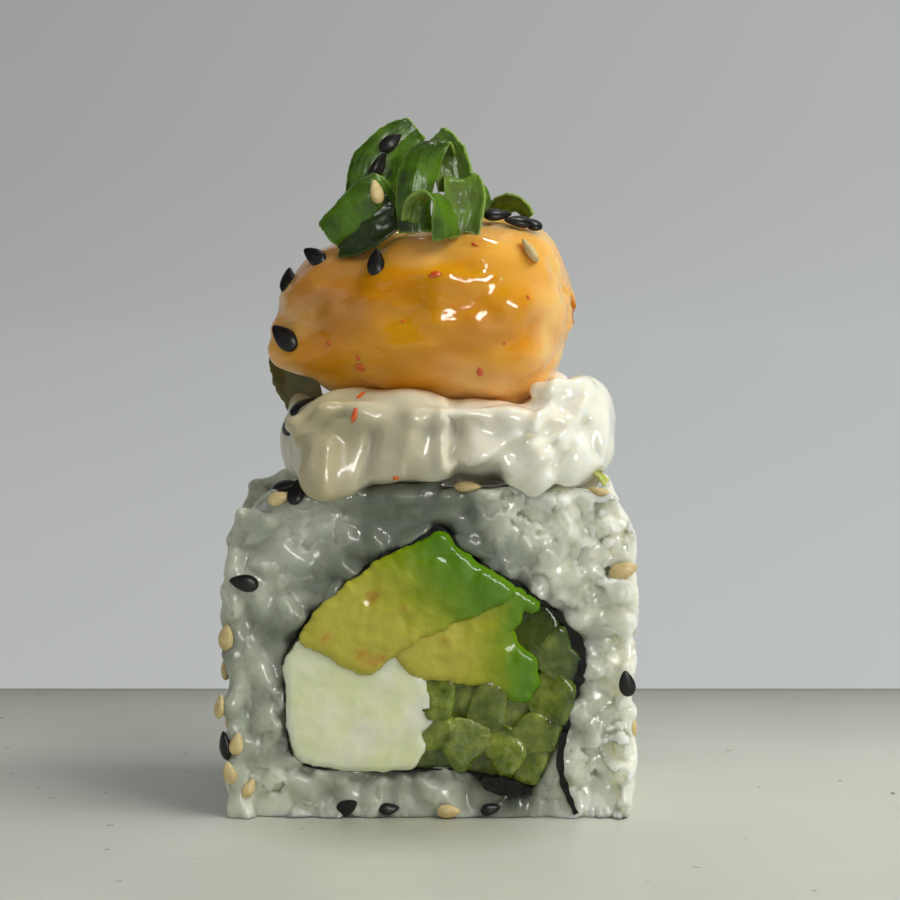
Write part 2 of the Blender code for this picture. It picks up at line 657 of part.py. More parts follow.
def out_of_prawn(points):
    """The shift that brings these points out of the prawn, a little more than a gap clear of it."""
    tilt = Matrix.Rotation(math.radians(PRAWN_TILT), 3, "Y")
    shift = Vector((0.0, 0.0, 0.0))
    for point in points:
        from_middle = point - Vector(PRAWN_MIDDLE)
        local = tilt @ from_middle
        direction = Vector([c / h for c, h in zip(local, PRAWN_HALF)]).normalized()
        surface = prawn_point(direction) - Vector(PRAWN_MIDDLE)
        lacking = surface.length + 1.5 * GAP - from_middle.length
        if lacking > shift.length:
            shift = from_middle.normalized() * lacking
    return shift


def make_leaf(name, base, finish):
    """A thin curled solid, with both faces split alike."""
    upper, lower = [], []
    for step in range(LEAF_STEPS + 1):
        for i in range(LEAF_CROSS + 1):
            pair = [leaf_point(name, step, i / LEAF_CROSS - 0.5, lift)[0]
                    for lift in (LEAF_THICK / 2, -LEAF_THICK / 2)]
            shift = out_of_prawn(pair)
            upper.append(pair[0] + shift)
            lower.append(pair[1] + shift)
    points = upper + lower
    row = LEAF_CROSS + 1
    under = row * (LEAF_STEPS + 1)
    faces = []
    for step in range(LEAF_STEPS):
        for i in range(LEAF_CROSS):
            a, b = step * row + i, step * row + i + 1
            c, d = a + row, b + row
            faces += [(a, b, d), (a, d, c), (under + a, under + d, under + b),
                      (under + a, under + c, under + d)]
    rim = [(s * row, (s + 1) * row) for s in range(LEAF_STEPS)]
    rim += [((s + 1) * row - 1, (s + 2) * row - 1) for s in range(LEAF_STEPS)]
    rim += [(i, i + 1) for i in range(LEAF_CROSS)]
    rim += [(LEAF_STEPS * row + i, LEAF_STEPS * row + i + 1) for i in range(LEAF_CROSS)]
    faces += [(a, b, under + b, under + a) for a, b in rim]
    return add_mesh(name, points, faces, finish, base)


def make_leaves(base):
    green = material("onion_green", (0.06, 0.13, 0.02), 0.4)
    leaves = {name: make_leaf(name, base, green) for name in LEAVES}
    for name, along, place, spin in LEAF_SEEDS:
        step = round(along * LEAF_STEPS)
        point, outward = leaf_point(name, step, place, LEAF_THICK / 2)
        boolean(leaves[name], seeds_at([(point, outward, spin)], name + "_seed", base), "UNION")
    return list(leaves.values())


def outline_place(share, inset):
    """A point and outward direction on the roll's outline, by its share from bottom left."""
    outline = rounded_outline(inset, 0.0, 8)[::-1]
    start = min(range(len(outline)), key=lambda i: (outline[i] - Vector((-ROLL_WIDTH / 2, 0.0))).length)
    outline = outline[start:] + outline[:start]
    lengths = [(b - a).length for a, b in zip(outline, outline[1:] + outline[:1])]
    left = share * sum(lengths)
    for i, length in enumerate(lengths):
        if left <= length:
            break
        left -= length
    a, b = outline[i], outline[(i + 1) % len(outline)]
    along = (b - a).normalized()
    return a.lerp(b, left / length), Vector((-along.y, along.x))


def rice_core(base, finish):
    core = prism("rice", rounded_outline(CORE_INSET, GAP), FRONT_CUT + CORE_INSET,
                 REAR_CUT - CORE_INSET, finish, base)
    left, right = nori_sides(GAP)
    # The hole follows the sheet's outer side. Its tail lies in a slot that opens at the bottom.
    beyond_end = (left[-1] - left[-2]).normalized() * 2 * GAP
    hole = right[NORI_TAIL - 1:] + [right[-1] + beyond_end, left[-1] + beyond_end]
    slot = left[:NORI_TAIL + 2] + right[:NORI_TAIL + 2][::-1]
    slot[0] = slot[0] + Vector((0.0, -2.0))
    slot[-1] = slot[-1] + Vector((0.0, -2.0))
    front, rear = FRONT_CUT - CUTTER_REACH, REAR_CUT + CUTTER_REACH
    # The slot runs a little further, so that no two ends of the cutters lie in one plane.
    cutters = [prism("hole", hole, front, rear, None, base),
               prism("slot", slot, front - 1, rear + 1, None, base)]
    return boolean(core, cutters, "DIFFERENCE")


def grain_matrices():
    """Where whole grains lie: on the rolled sides and top, then on both cut faces."""
    places = []
    outline_length = 2 * (ROLL_WIDTH + ROLL_HEIGHT)
    around = int(outline_length / OUTER_PITCH[0])
    rows = int(ROLL_DEPTH / OUTER_PITCH[1])
    for i in range(around):
        for j in range(rows):
            share = (i + 0.5 * (j % 2) + rng.uniform(-0.22, 0.22)) / around % 1.0
            depth = FRONT_CUT + (j + 0.5 + rng.uniform(-0.2, 0.2)) * ROLL_DEPTH / rows
            point, outward = outline_place(share, CORE_INSET)
            spin = rng.uniform(0, 180)
            places.append(((point.x, depth, point.y), (outward.x, 0, outward.y), spin, 0.95))
    columns = int(ROLL_WIDTH / FACE_PITCH)
    levels = int(ROLL_HEIGHT / FACE_PITCH)
    for facing, depth in ((-1, FRONT_CUT + CORE_INSET), (1, REAR_CUT - CORE_INSET)):
        for i in range(columns):
            for j in range(levels):
                x = (i + 0.5 + rng.uniform(-0.25, 0.25)) * FACE_PITCH - ROLL_WIDTH / 2
                z = (j + 0.5 + rng.uniform(-0.25, 0.25)) * FACE_PITCH
                spin = rng.uniform(0, 180)
                places.append(((x, depth, z), (0, facing, 0), spin, rng.uniform(0.55, 0.85)))
    return places


def make_rice(base, neighbours):
    rice = rice_core(base, material("rice", (0.52, 0.54, 0.44), 0.4))
    tree = tree_of(neighbours)
    joined = []
    for i, (place, outward, spin, size) in enumerate(grain_matrices()):
        points, faces = grain_mesh(GRAIN_LENGTH * size, GRAIN_THICK * (0.85 + 0.15 * size))
        sunk = Vector(place) - Vector(outward) * GRAIN_SUNK
        moved = moved_points(points, standing_on(sunk, outward, spin))
        inside_box = all(abs(p.x) < ROLL_WIDTH / 2 + 0.6 and p.z > GAP + 0.2 for p in moved)
        if inside_box and is_clear(moved, faces, tree, sunk) and touches_core(place):
            joined.append(add_mesh(f"grain_{i}", moved, faces, None, base))
    surface = tree_of([rice, *joined])
    places = []
    for share, depth, spin in SIDE_SEEDS:
        point, outward = outline_place(share, 0.0)
        places.append(((point.x, depth, point.y), (outward.x, 0, outward.y), spin))
    for rows, facing, depth in ((FRONT_SEEDS, -1, FRONT_CUT), (REAR_SEEDS, 1, REAR_CUT)):
        places += [((x, depth, z), (0, facing, 0), spin) for x, z, spin in rows]
    landed = []
    for point, outward, spin in places:
        hit, normal = drop_onto(surface, point, outward)
        if hit:
            landed.append((hit, normal + Vector(outward), spin))
    seeds = seeds_at(landed, "rice_seed", base, tree)
    print(len(joined), "grains and", len(seeds), "seeds on the rice")
    joined += seeds
    boolean(rice, joined, "UNION")
    return keep_main_body(rice)


def touches_core(place):
    """Whether a grain's middle lies over rice, and not over the filling."""
    x, _, z = place
    hole = nori_sides(GAP)[1][NORI_TAIL:]
    return not inside(hole, Vector((x, z)))


def inside(outline, point):
    crossings = 0
    for a, b in zip(outline, outline[1:] + outline[:1]):
        if (a.y > point.y) != (b.y > point.y):
            crossings += point.x < a.x + (point.y - a.y) / (b.y - a.y) * (b.x - a.x)
    return crossings % 2 == 1


def main():
    clear_scene()
    make_board()
    base = bpy.data.objects.new("roll_base", None)
    bpy.context.scene.collection.objects.link(base)
    nori = make_nori(base)
    filling = make_filling(base)
    prawn = make_prawn(base)
    cream = make_cream(base, prawn)
    leaves = make_leaves(base)
    make_rice(base, [nori, cream, *filling, *leaves])
    base.location.z = BOARD_THICK * MM
    for obj in [nori, cream, prawn]:
        shade(obj)


main()
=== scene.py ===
# %% [markdown]
# This lesson dresses a slice of uramaki, an inside-out sushi roll that stands on its white board.
# The sizes come from a model that is already packed, so we load that model first. Each of its
# parts is an object at its real size in metres. We may repaint a part, or put a finer one in its
# place, but nothing is moved.

# %% Load the imported model
import math
import random

import bmesh
import bpy
import numpy as np
from mathutils import Matrix, Vector, noise
from mathutils.bvhtree import BVHTree
from mathutils.kdtree import KDTree


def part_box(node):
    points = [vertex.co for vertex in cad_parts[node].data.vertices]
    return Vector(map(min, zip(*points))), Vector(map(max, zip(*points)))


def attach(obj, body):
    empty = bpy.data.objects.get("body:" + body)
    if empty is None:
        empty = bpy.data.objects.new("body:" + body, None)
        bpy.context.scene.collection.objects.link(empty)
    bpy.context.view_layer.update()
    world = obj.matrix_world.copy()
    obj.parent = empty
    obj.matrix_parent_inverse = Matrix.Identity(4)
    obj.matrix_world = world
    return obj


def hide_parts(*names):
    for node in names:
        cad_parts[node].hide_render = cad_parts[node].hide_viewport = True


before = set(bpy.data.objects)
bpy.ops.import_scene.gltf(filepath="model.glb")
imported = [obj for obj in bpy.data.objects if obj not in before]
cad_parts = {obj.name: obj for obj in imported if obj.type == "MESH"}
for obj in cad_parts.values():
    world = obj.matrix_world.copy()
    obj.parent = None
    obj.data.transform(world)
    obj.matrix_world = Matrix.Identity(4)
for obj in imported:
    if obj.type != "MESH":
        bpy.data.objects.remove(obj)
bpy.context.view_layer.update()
print("parts in the model:", len(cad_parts))

# %% [markdown]
# Food is small, and millimetres are easier to think in than metres. So every shape below is given
# in millimetres, with heights counted from the top of the board. One number turns them into metres.
# The two cuts of the roll are read from the sheet of nori, which stops a little short of them.

# %% Millimetres, and where the board and the cuts are
MM = 0.001
BOARD_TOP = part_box("board")[1].z / MM
NORI_SHORT_OF_CUT = 0.25
FRONT_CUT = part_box("nori")[0].y / MM - NORI_SHORT_OF_CUT
REAR_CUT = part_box("nori")[1].y / MM + NORI_SHORT_OF_CUT
ROLL_DEPTH = REAR_CUT - FRONT_CUT
print("board top", round(BOARD_TOP, 2), "cuts", round(FRONT_CUT, 2), round(REAR_CUT, 2))

# %% [markdown]
# The photograph was taken close up, from just above the roll and straight at its front cut. A long
# lens from a little way off gives the same view. The camera is placed by three numbers measured
# on the picture: its distance from the cut, its height, and the height that it looks at.

# %% The camera
CAMERA_X = 2.1
CAMERA_DISTANCE = 260.0
CAMERA_HEIGHT = 66.0
LOOK_AT_HEIGHT = 37.6
LENS = 104.6

camera = bpy.data.objects.new("camera", bpy.data.cameras.new("camera"))
bpy.context.scene.collection.objects.link(camera)
eye = Vector((CAMERA_X, FRONT_CUT - CAMERA_DISTANCE, BOARD_TOP + CAMERA_HEIGHT)) * MM
aim = Vector((CAMERA_X, FRONT_CUT, BOARD_TOP + LOOK_AT_HEIGHT)) * MM
camera.location = eye
camera.rotation_euler = (aim - eye).to_track_quat("-Z", "Y").to_euler()
camera.data.lens = LENS
camera.data.sensor_width = 36.0
camera.data.clip_start = 0.01
bpy.context.scene.camera = camera
print("camera looks down by", round(math.degrees(math.atan2(eye.z - aim.z, aim.y - eye.y)), 1))

# %% [markdown]
# A daylight studio: a big soft window high on the right, a weak fill from the left, and a pale
# world that lights the shadows. Wet food mirrors its surroundings, and a mirrored world would wash
# out the colours. So the window and the world only light the food, and three small lamps make the
# glints: a long card, a point, and a strip above. The standard view transform keeps the colours
# as they are mixed.

# %% The studio light
def soft_lamp(name, place, target, size, watts, colour):
    lamp = bpy.data.lights.new(name, "AREA")
    lamp.shape = "RECTANGLE"
    lamp.size, lamp.size_y = size
    lamp.energy = watts
    lamp.color = colour
    holder = bpy.data.objects.new(name, lamp)
    bpy.context.scene.collection.objects.link(holder)
    holder.location = place
    holder.rotation_euler = (Vector(target) - Vector(place)).to_track_quat("-Z", "Y").to_euler()
    return holder


ROLL_CENTRE = (0.0, 0.0, 0.04)
TOPPING = (0.0, 0.0, 0.06)
WARM_WHITE = (1.0, 0.99, 0.95)
window = soft_lamp("window", (0.42, -0.18, 0.50), ROLL_CENTRE, (0.50, 0.38), 3.9, WARM_WHITE)
window.visible_glossy = False
card = soft_lamp("card", (0.205, -0.575, 0.20), TOPPING, (0.36, 0.08), 2.0, WARM_WHITE)
card.rotation_euler.rotate_axis("Z", math.radians(-42))
sparkle = soft_lamp("sparkle", (0.10, -0.60, 0.42), TOPPING, (0.03, 0.03), 0.35, WARM_WHITE)
top_strip = soft_lamp("top_strip", (0.10, 0.10, 0.62), TOPPING, (0.2, 0.05), 1.0, WARM_WHITE)
for lamp in (card, sparkle, top_strip):
    lamp.visible_diffuse = False
soft_lamp("fill", (-0.6, -0.5, 0.35), ROLL_CENTRE, (0.6, 0.6), 0.5, (0.95, 0.97, 1.0))
world = bpy.data.worlds.new("studio")
world.use_nodes = True
sky = world.node_tree.nodes["Background"]
sky.inputs["Color"].default_value = (0.80, 0.81, 0.82, 1.0)
sky.inputs["Strength"].default_value = 0.36
bpy.context.scene.world = world
world.cycles_visibility.glossy = False
bpy.context.scene.view_settings.view_transform = "Standard"

# %% [markdown]
# A finish is made of shader nodes. Each starts from Blender's Principled shader: a body, a clear
# coat over it that makes it wet, and light that enters and spreads inside, as it does in most food.
# Colours are typed as they look on a screen, from 0 to 255, and turned into linear light.

# %% Begin a finish
def screen(red, green, blue):
    """A screen colour, 0 to 255, as the linear colour that a shader wants."""
    parts = [c / 255.0 for c in (red, green, blue)]
    return [p / 12.92 if p <= 0.04045 else ((p + 0.055) / 1.055) ** 2.4 for p in parts] + [1.0]


def new_finish(name, roughness, coat=0.0, coat_roughness=0.05, sheen_of_body=0.5):
    made = bpy.data.materials.new(name)
    made.use_nodes = True
    shader = made.node_tree.nodes["Principled BSDF"]
    shader.inputs["Roughness"].default_value = roughness
    shader.inputs["Specular IOR Level"].default_value = sheen_of_body
    shader.inputs["Coat Weight"].default_value = coat
    shader.inputs["Coat Roughness"].default_value = coat_roughness
    return made, made.node_tree, shader


def let_light_in(shader, weight, reach_mm, colour=(1.0, 0.8, 0.5)):
    """Light enters and spreads this many millimetres, as in rice, cheese or sauce."""
    shader.inputs["Subsurface Weight"].default_value = weight
    shader.inputs["Subsurface Radius"].default_value = colour
    shader.inputs["Subsurface Scale"].default_value = reach_mm * MM


print("white on screen is", [round(c, 2) for c in screen(255, 255, 255)])

# %% [markdown]
# The rest is patterns. Patches of noise choose between a few colours, numbers measured on the mesh
# say where a colour belongs, and finer noise gives the surface its relief. The noise is laid out
# by the place on the object in metres, so it keeps its size in millimetres on every piece.

# %% Patterns, colours and relief
NOISE_ROUGHNESS = 0.55


def mapped_place(tree, scale, shift=(0.0, 0.0, 0.0), turn_degrees=0.0):
    """The place on the object, turned about Z, scaled and shifted."""
    place = tree.nodes.new("ShaderNodeTexCoord")
    mapping = tree.nodes.new("ShaderNodeMapping")
    mapping.inputs["Scale"].default_value = scale
    mapping.inputs["Location"].default_value = shift
    mapping.inputs["Rotation"].default_value = (0.0, 0.0, math.radians(turn_degrees))
    tree.links.new(place.outputs["Object"], mapping.inputs["Vector"])
    return mapping.outputs["Vector"]


def noise_at(tree, place, detail, roughness=0.5):
    cloud = tree.nodes.new("ShaderNodeTexNoise")
    cloud.inputs["Scale"].default_value = 1.0
    cloud.inputs["Detail"].default_value = detail
    cloud.inputs["Roughness"].default_value = roughness
    tree.links.new(place, cloud.inputs["Vector"])
    return cloud.outputs["Fac"]


def patches(tree, size_mm, detail=3.0, offset=0.0):
    """Noise whose patches are about this many millimetres across."""
    scale = [1 / (size_mm * MM)] * 3
    place = mapped_place(tree, scale, (offset, offset * 0.7, offset * 1.3))
    return noise_at(tree, place, detail, NOISE_ROUGHNESS)


def measured(tree, name):
    """A number that was stored on the mesh's points."""
    reader = tree.nodes.new("ShaderNodeAttribute")
    reader.attribute_name = name
    return reader.outputs["Fac"]


def steps(tree, value, *stops):
    """Turns a number into a colour, by (place from 0 to 1, colour) stops."""
    ramp = tree.nodes.new("ShaderNodeValToRGB")
    tree.links.new(value, ramp.inputs["Fac"])
    while len(ramp.color_ramp.elements) < len(stops):
        ramp.color_ramp.elements.new(0.5)
    for element, (place, colour) in zip(ramp.color_ramp.elements, stops):
        element.position = place
        element.color = colour if len(colour) == 4 else (*colour, 1.0)
    return ramp.outputs["Color"]


def blend(tree, amount, under, over, how="MIX"):
    """Lays one colour over another. Each may be a socket or a plain colour."""
    mix = tree.nodes.new("ShaderNodeMix")
    mix.data_type = "RGBA"
    mix.blend_type = how
    for socket, value in ((mix.inputs[0], amount), (mix.inputs[6], under), (mix.inputs[7], over)):
        if isinstance(value, bpy.types.NodeSocket):
            tree.links.new(value, socket)
        else:
            socket.default_value = value
    return mix.outputs[2]


def relief(tree, shader, height, depth_mm, below=None):
    """Fine relief this deep. Several can be stacked, each on the one below."""
    bump = tree.nodes.new("ShaderNodeBump")
    bump.inputs["Distance"].default_value = depth_mm * MM
    bump.inputs["Strength"].default_value = 1.0
    tree.links.new(height, bump.inputs["Height"])
    if below:
        tree.links.new(below, bump.inputs["Normal"])
    tree.links.new(bump.outputs["Normal"], shader.inputs["Normal"])
    return bump.outputs["Normal"]


def paint(tree, colour, shader, socket="Base Color"):
    tree.links.new(colour, shader.inputs[socket])


def multiplied(tree, one, other):
    return blend(tree, 1.0, one, other, "MULTIPLY")


print("a noise patch of 2 mm has scale", round(1 / (2 * MM)))

# %% [markdown]
# Shapes need helpers too. A piece is made from points in millimetres, rides on the one body of the
# model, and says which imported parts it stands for. Many pieces here begin as rough lumps that
# overlap. A voxel remesh melts them into one skin, the way sticky grains or thick sauce cling
# together, and a few rounds of smoothing soften it.

# %% Add a piece, and melt lumps into one skin
def add_piece(name, points, faces, finish, slot, *stands_for):
    """A smooth-shaded object from points in millimetres above the board's top."""
    mesh = bpy.data.meshes.new(name)
    world_points = (np.asarray(points, float) + (0.0, 0.0, BOARD_TOP)) * MM
    mesh.from_pydata(world_points.tolist(), [], faces)
    mesh.materials.append(finish)
    mesh.shade_smooth()
    made = bpy.data.objects.new(name, mesh)
    bpy.context.scene.collection.objects.link(made)
    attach(made, "root")
    if stands_for:
        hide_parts(*stands_for)
    return made


def settle(made):
    """Applies the modifiers, and makes sure that the faces point outwards."""
    bpy.context.view_layer.update()
    graph = bpy.context.evaluated_depsgraph_get()
    mesh = bpy.data.meshes.new_from_object(made.evaluated_get(graph))
    made.modifiers.clear()
    made.data = mesh
    mesh.shade_smooth()
    return made


def melt(made, voxel_mm, rounds, most_triangles=None):
    """Melts overlapping lumps into one skin, thinned out if it has too many triangles."""
    finish = made.data.materials[0]
    joined = made.modifiers.new("melt", "REMESH")
    joined.mode = "VOXEL"
    joined.voxel_size = voxel_mm * MM
    soft = made.modifiers.new("soften", "SMOOTH")
    soft.factor = 0.5
    soft.iterations = rounds
    settle(made)
    if most_triangles and 2 * len(made.data.polygons) > most_triangles:
        thinner = made.modifiers.new("thin out", "DECIMATE")
        thinner.ratio = most_triangles / (2 * len(made.data.polygons))
        settle(made)
    made.data.materials.clear()
    made.data.materials.append(finish)
    return made


print("packed parts to stand for:", sorted(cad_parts)[:4], "and so on")

# %% [markdown]
# A mesh can be pushed about as plain numbers. These helpers read all the points of a piece as one
# table, move them, and put them back. Noise and averages over neighbouring points are worked out
# on the same table, for dents and for smoothing.

# %% The points of a piece as numbers
def points_of(made):
    """The points of a piece in millimetres above the board's top."""
    count = len(made.data.vertices)
    flat = np.empty(count * 3)
    made.data.vertices.foreach_get("co", flat)
    return flat.reshape(-1, 3) / MM - (0.0, 0.0, BOARD_TOP)


def put_points(made, points):
    world_points = (points + (0.0, 0.0, BOARD_TOP)) * MM
    made.data.vertices.foreach_set("co", world_points.ravel())
    made.data.update()


def normals_of(made):
    flat = np.empty(len(made.data.vertices) * 3)
    made.data.vertices.foreach_get("normal", flat)
    return flat.reshape(-1, 3)


def ripple(points, size_mm, seed=0.0):
    """Smooth noise, about -1 to 1, at each point."""
    return np.array([noise.noise(Vector(p) / size_mm + Vector((seed, seed, seed))) for p in points])


def averaged(made, values, rounds):
    """Values at the points, averaged with their neighbours a number of times."""
    edges = np.empty(len(made.data.edges) * 2, int)
    made.data.edges.foreach_get("vertices", edges)
    a, b = edges.reshape(-1, 2).T
    count = np.bincount(a, minlength=len(values)) + np.bincount(b, minlength=len(values))
    count = np.maximum(count, 1).reshape((-1,) + (1,) * (values.ndim - 1))
    for _ in range(rounds):
        total = np.zeros_like(values)
        np.add.at(total, a, values[b])
        np.add.at(total, b, values[a])
        values = 0.5 * values + 0.5 * total / count
    return values


test_points = np.array([(0.0, 0.0, 0.0), (1.0, 0.0, 0.0)])
print("noise at the origin and 1 mm off:", ripple(test_points, 2.0).round(2))

# %% [markdown]
# A finish can read a number at each point of the mesh, such as how deep it lies in a crevice. Here
# is how such numbers are stored, and two last helpers: one makes all faces look outwards, and one
# prints the size of a finished piece.

# %% Numbers for the finishes to read
def store(made, name, values):
    """Stores one number for each point, which a finish reads by this name."""
    made.data.attributes.new(name, "FLOAT", "POINT").data.foreach_set("value", values)


def store_hollows(made, rounds, depth_mm):
    """Stores how far each point lies below its surroundings: 0 on crests, 1 in crevices."""
    points = points_of(made)
    lifted = averaged(made, points, rounds) - points
    depth = (lifted * normals_of(made)).sum(axis=1)
    store(made, "hollow", np.clip(0.5 + 0.5 * depth / depth_mm, 0.0, 1.0))


def turn_outwards(made):
    """Makes every face look out of the piece."""
    bm = bmesh.new()
    bm.from_mesh(made.data)
    bmesh.ops.recalc_face_normals(bm, faces=bm.faces)
    bm.to_mesh(made.data)
    bm.free()


def report_piece(made):
    corners = points_of(made)
    size = corners.max(axis=0) - corners.min(axis=0)
    print(made.name, len(made.data.polygons), "faces,", [round(float(s), 1) for s in size], "mm")


# %% [markdown]
# The board is plain white plastic. On the real one a knife has left fine, pale scratches, and some
# tiny dark crumbs lie about. The scratches are noise stretched long and thin, in two directions,
# and the crumbs are sparse dots. Shade is painted on too: the board is painted darker towards its
# rear edge, with a dark line along it, and a painted shadow lies where the roll stands close to it.

# %% The board's finish
def scratches(tree, turn_degrees, offset):
    """Long thin streaks that run at an angle, mostly absent."""
    stretched = mapped_place(tree, (35.0, 1800.0, 35.0), (offset, offset, 0.0), turn_degrees)
    streaks = noise_at(tree, stretched, 2.0)
    return steps(tree, streaks, (0.0, (0, 0, 0)), (0.66, (0, 0, 0)), (0.74, (1, 1, 1)))


def across_board(tree):
    """The place from the front of the board, 0, to its rear edge, 1."""
    place = tree.nodes.new("ShaderNodeTexCoord")
    parts = tree.nodes.new("ShaderNodeSeparateXYZ")
    fit = tree.nodes.new("ShaderNodeMapRange")
    fit.inputs["From Min"].default_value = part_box("board")[0].y
    fit.inputs["From Max"].default_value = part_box("board")[1].y
    tree.links.new(place.outputs["Object"], parts.inputs["Vector"])
    tree.links.new(parts.outputs["Y"], fit.inputs["Value"])
    return fit.outputs["Result"]


def distance_from_roll(tree):
    """The distance from the foot of the front cut, as a share of the shaded oval."""
    half_x, half_y = 19.0, 15.0
    scale = (1 / (half_x * MM), 1 / (half_y * MM), 0.0)
    oval = mapped_place(tree, scale, (3.0 / half_x, -(FRONT_CUT - 1.0) / half_y, 0.0))
    length = tree.nodes.new("ShaderNodeVectorMath")
    length.operation = "LENGTH"
    tree.links.new(oval, length.inputs[0])
    return length.outputs["Value"]


board_plastic, tree, shader = new_finish("board_plastic", 0.36)
let_light_in(shader, 0.25, 3.0, (1.0, 1.0, 0.9))
tone = steps(tree, patches(tree, 30.0, 2.0), (0.3, screen(196, 200, 188)), (0.7, screen(205, 209, 197)))
# Painted shade: darker towards the rear edge, with a dark line along it.
painted_rear_shade = steps(tree, across_board(tree), (0.66, (1, 1, 1)), (0.88, (0.74, 0.74, 0.72)),
                 (0.975, (0.52, 0.52, 0.48)), (0.984, (0.3, 0.3, 0.26)), (0.994, (0.85, 0.85, 0.85)))
# Painted shadow of the roll, in an oval in front of its foot.
painted_roll_shadow = steps(tree, distance_from_roll(tree), (0.3, (0.68, 0.66, 0.6)), (1.0, (1, 1, 1)))
tone = multiplied(tree, multiplied(tree, tone, painted_rear_shade), painted_roll_shadow)
knife = blend(tree, 0.5, scratches(tree, 12.0, 3.0), scratches(tree, -38.0, 9.0), "ADD")
tone = blend(tree, blend(tree, 0.6, (0, 0, 0, 1), knife), tone, screen(206, 210, 197))
crumbs = steps(tree, patches(tree, 1.6, 0.0, offset=7.0), (0.0, (0, 0, 0)), (0.855, (0, 0, 0)),
               (0.87, (1, 1, 1)))
paint(tree, blend(tree, crumbs, tone, screen(120, 118, 96)), shader)
grain_of_plastic = relief(tree, shader, patches(tree, 0.5, 2.0), 0.012)
relief(tree, shader, knife, -0.03, grain_of_plastic)
print("the board's finish has", len(tree.nodes), "nodes")

# %% [markdown]
# The board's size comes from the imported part. We bevel a box twice: first the upright corners, then
# the level edges.

# %% The board
BOARD_CORNER = 8.0
BOARD_EDGE = 1.0

low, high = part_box("board")
bm = bmesh.new()
bmesh.ops.create_cube(bm, size=1.0)
bmesh.ops.scale(bm, verts=bm.verts, vec=high - low)
bmesh.ops.translate(bm, verts=bm.verts, vec=(high + low) / 2)
upright = [e for e in bm.edges if abs(e.verts[0].co.z - e.verts[1].co.z) > MM]
bmesh.ops.bevel(bm, geom=upright, offset=BOARD_CORNER * MM, segments=16, affect="EDGES", profile=0.5)
level = [e for e in bm.edges if abs(e.verts[0].co.z - e.verts[1].co.z) < MM]
bmesh.ops.bevel(bm, geom=level, offset=BOARD_EDGE * MM, segments=5, affect="EDGES", profile=0.5)
mesh = bpy.data.meshes.new("cutting_board")
bm.to_mesh(mesh)
bm.free()
mesh.materials.append(board_plastic)
mesh.shade_smooth()
mesh.set_sharp_from_angle(angle=math.radians(40))
cutting_board = bpy.data.objects.new("cutting_board", mesh)
bpy.context.scene.collection.objects.link(cutting_board)
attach(cutting_board, "root")
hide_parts("board")
report_piece(cutting_board)

# %% [markdown]
# The roll's cut is drawn with flat lines, in X and height. These helpers work on such lines: one
# draws a smooth curve through a few points, one finds the place on a line that is nearest to a
# point, and one tells whether a point lies inside a closed outline.

# %% Helpers for flat lines
def smooth_line(points, spans):
    """A Catmull-Rom curve through the points, cut into this many spans between two of them."""
    points = [np.array(p, float) for p in points]
    line = []
    for i in range(len(points) - 1):
        a, b = points[max(i - 1, 0)], points[i]
        c, d = points[i + 1], points[min(i + 2, len(points) - 1)]
        for step in range(spans):
            t = step / spans
            line.append(0.5 * (2 * b + (c - a) * t + (2 * a - 5 * b + 4 * c - d) * t**2
                               + (3 * b - a - 3 * c + d) * t**3))
    return np.array(line + [points[-1]])


def left_of(line):
    """Unit directions to the left of a flat line."""
    along = np.gradient(line, axis=0)
    along /= np.linalg.norm(along, axis=1, keepdims=True)
    return np.stack([-along[:, 1], along[:, 0]], axis=1)


def nearest_on(line, points):
    """For each point, the nearest place on the line and how far it is."""
    best = np.full(len(points), np.inf)
    places = np.zeros_like(points)
    for a, b in zip(line[:-1], line[1:]):
        span = b - a
        t = np.clip(((points - a) @ span) / (span @ span), 0.0, 1.0)[:, None]
        near = a + t * span
        far = np.linalg.norm(points - near, axis=1)
        closer = far < best
        best[closer] = far[closer]
        places[closer] = near[closer]
    return places, best


def inside(outline, points):
    crossings = np.zeros(len(points), bool)
    for a, b in zip(outline, np.roll(outline, -1, axis=0)):
        spans = (a[1] > points[:, 1]) != (b[1] > points[:, 1])
        rise = b[1] - a[1] if b[1] != a[1] else 1.0
        crossings ^= spans & (points[:, 0] < a[0] + (points[:, 1] - a[1]) * (b[0] - a[0]) / rise)
    return crossings


print("a curve through 3 points in 4 spans:", len(smooth_line([(0, 0), (1, 1), (2, 0)], 4)), "points")

# %% [markdown]
# Two outlines shape the roll. The outer one is a box with a different round at each corner, as the
# roller's mat leaves it. The inner one is the sheet of nori, which starts in the seam at the board,
# runs up the right side, over the filling to its peak, down the left side and back along the
# bottom. The rice must keep outside that line. It leaves the sheet free at the right, and reaches
# over its edge at the left and below.

# %% The outlines of the roll and the nori
ROLL_WIDTH = 42.0
ROLL_HEIGHT = 34.0
CORNER_RADII = (2.5, 8.0, 10.5, 3.5)  # from the bottom right corner round to the bottom left
CORNER_STEPS = 12
NORI_LINE = [
    (14.9, 0.5), (14.1, 2.4), (13.3, 5.4), (13.6, 9.2), (14.8, 13.1), (15.6, 16.4), (14.5, 18.7),
    (12.4, 21.3), (9.1, 23.6), (6.1, 25.4), (3.2, 27.5), (1.2, 29.7), (-1.2, 28.4), (-5.0, 26.5),
    (-8.5, 23.8), (-11.3, 21.4), (-13.0, 18.9), (-14.7, 16.4), (-14.6, 13.2), (-14.5, 10.0),
    (-13.9, 6.4), (-11.7, 5.2), (-7.4, 4.8), (-2.4, 4.8), (2.4, 5.0), (4.9, 4.1), (6.6, 2.9),
    (10.4, 2.6),
]
NORI_TAIL = 3  # of its spans lie in the seam
NORI_THICK = 0.42
LINE_SPANS = 6


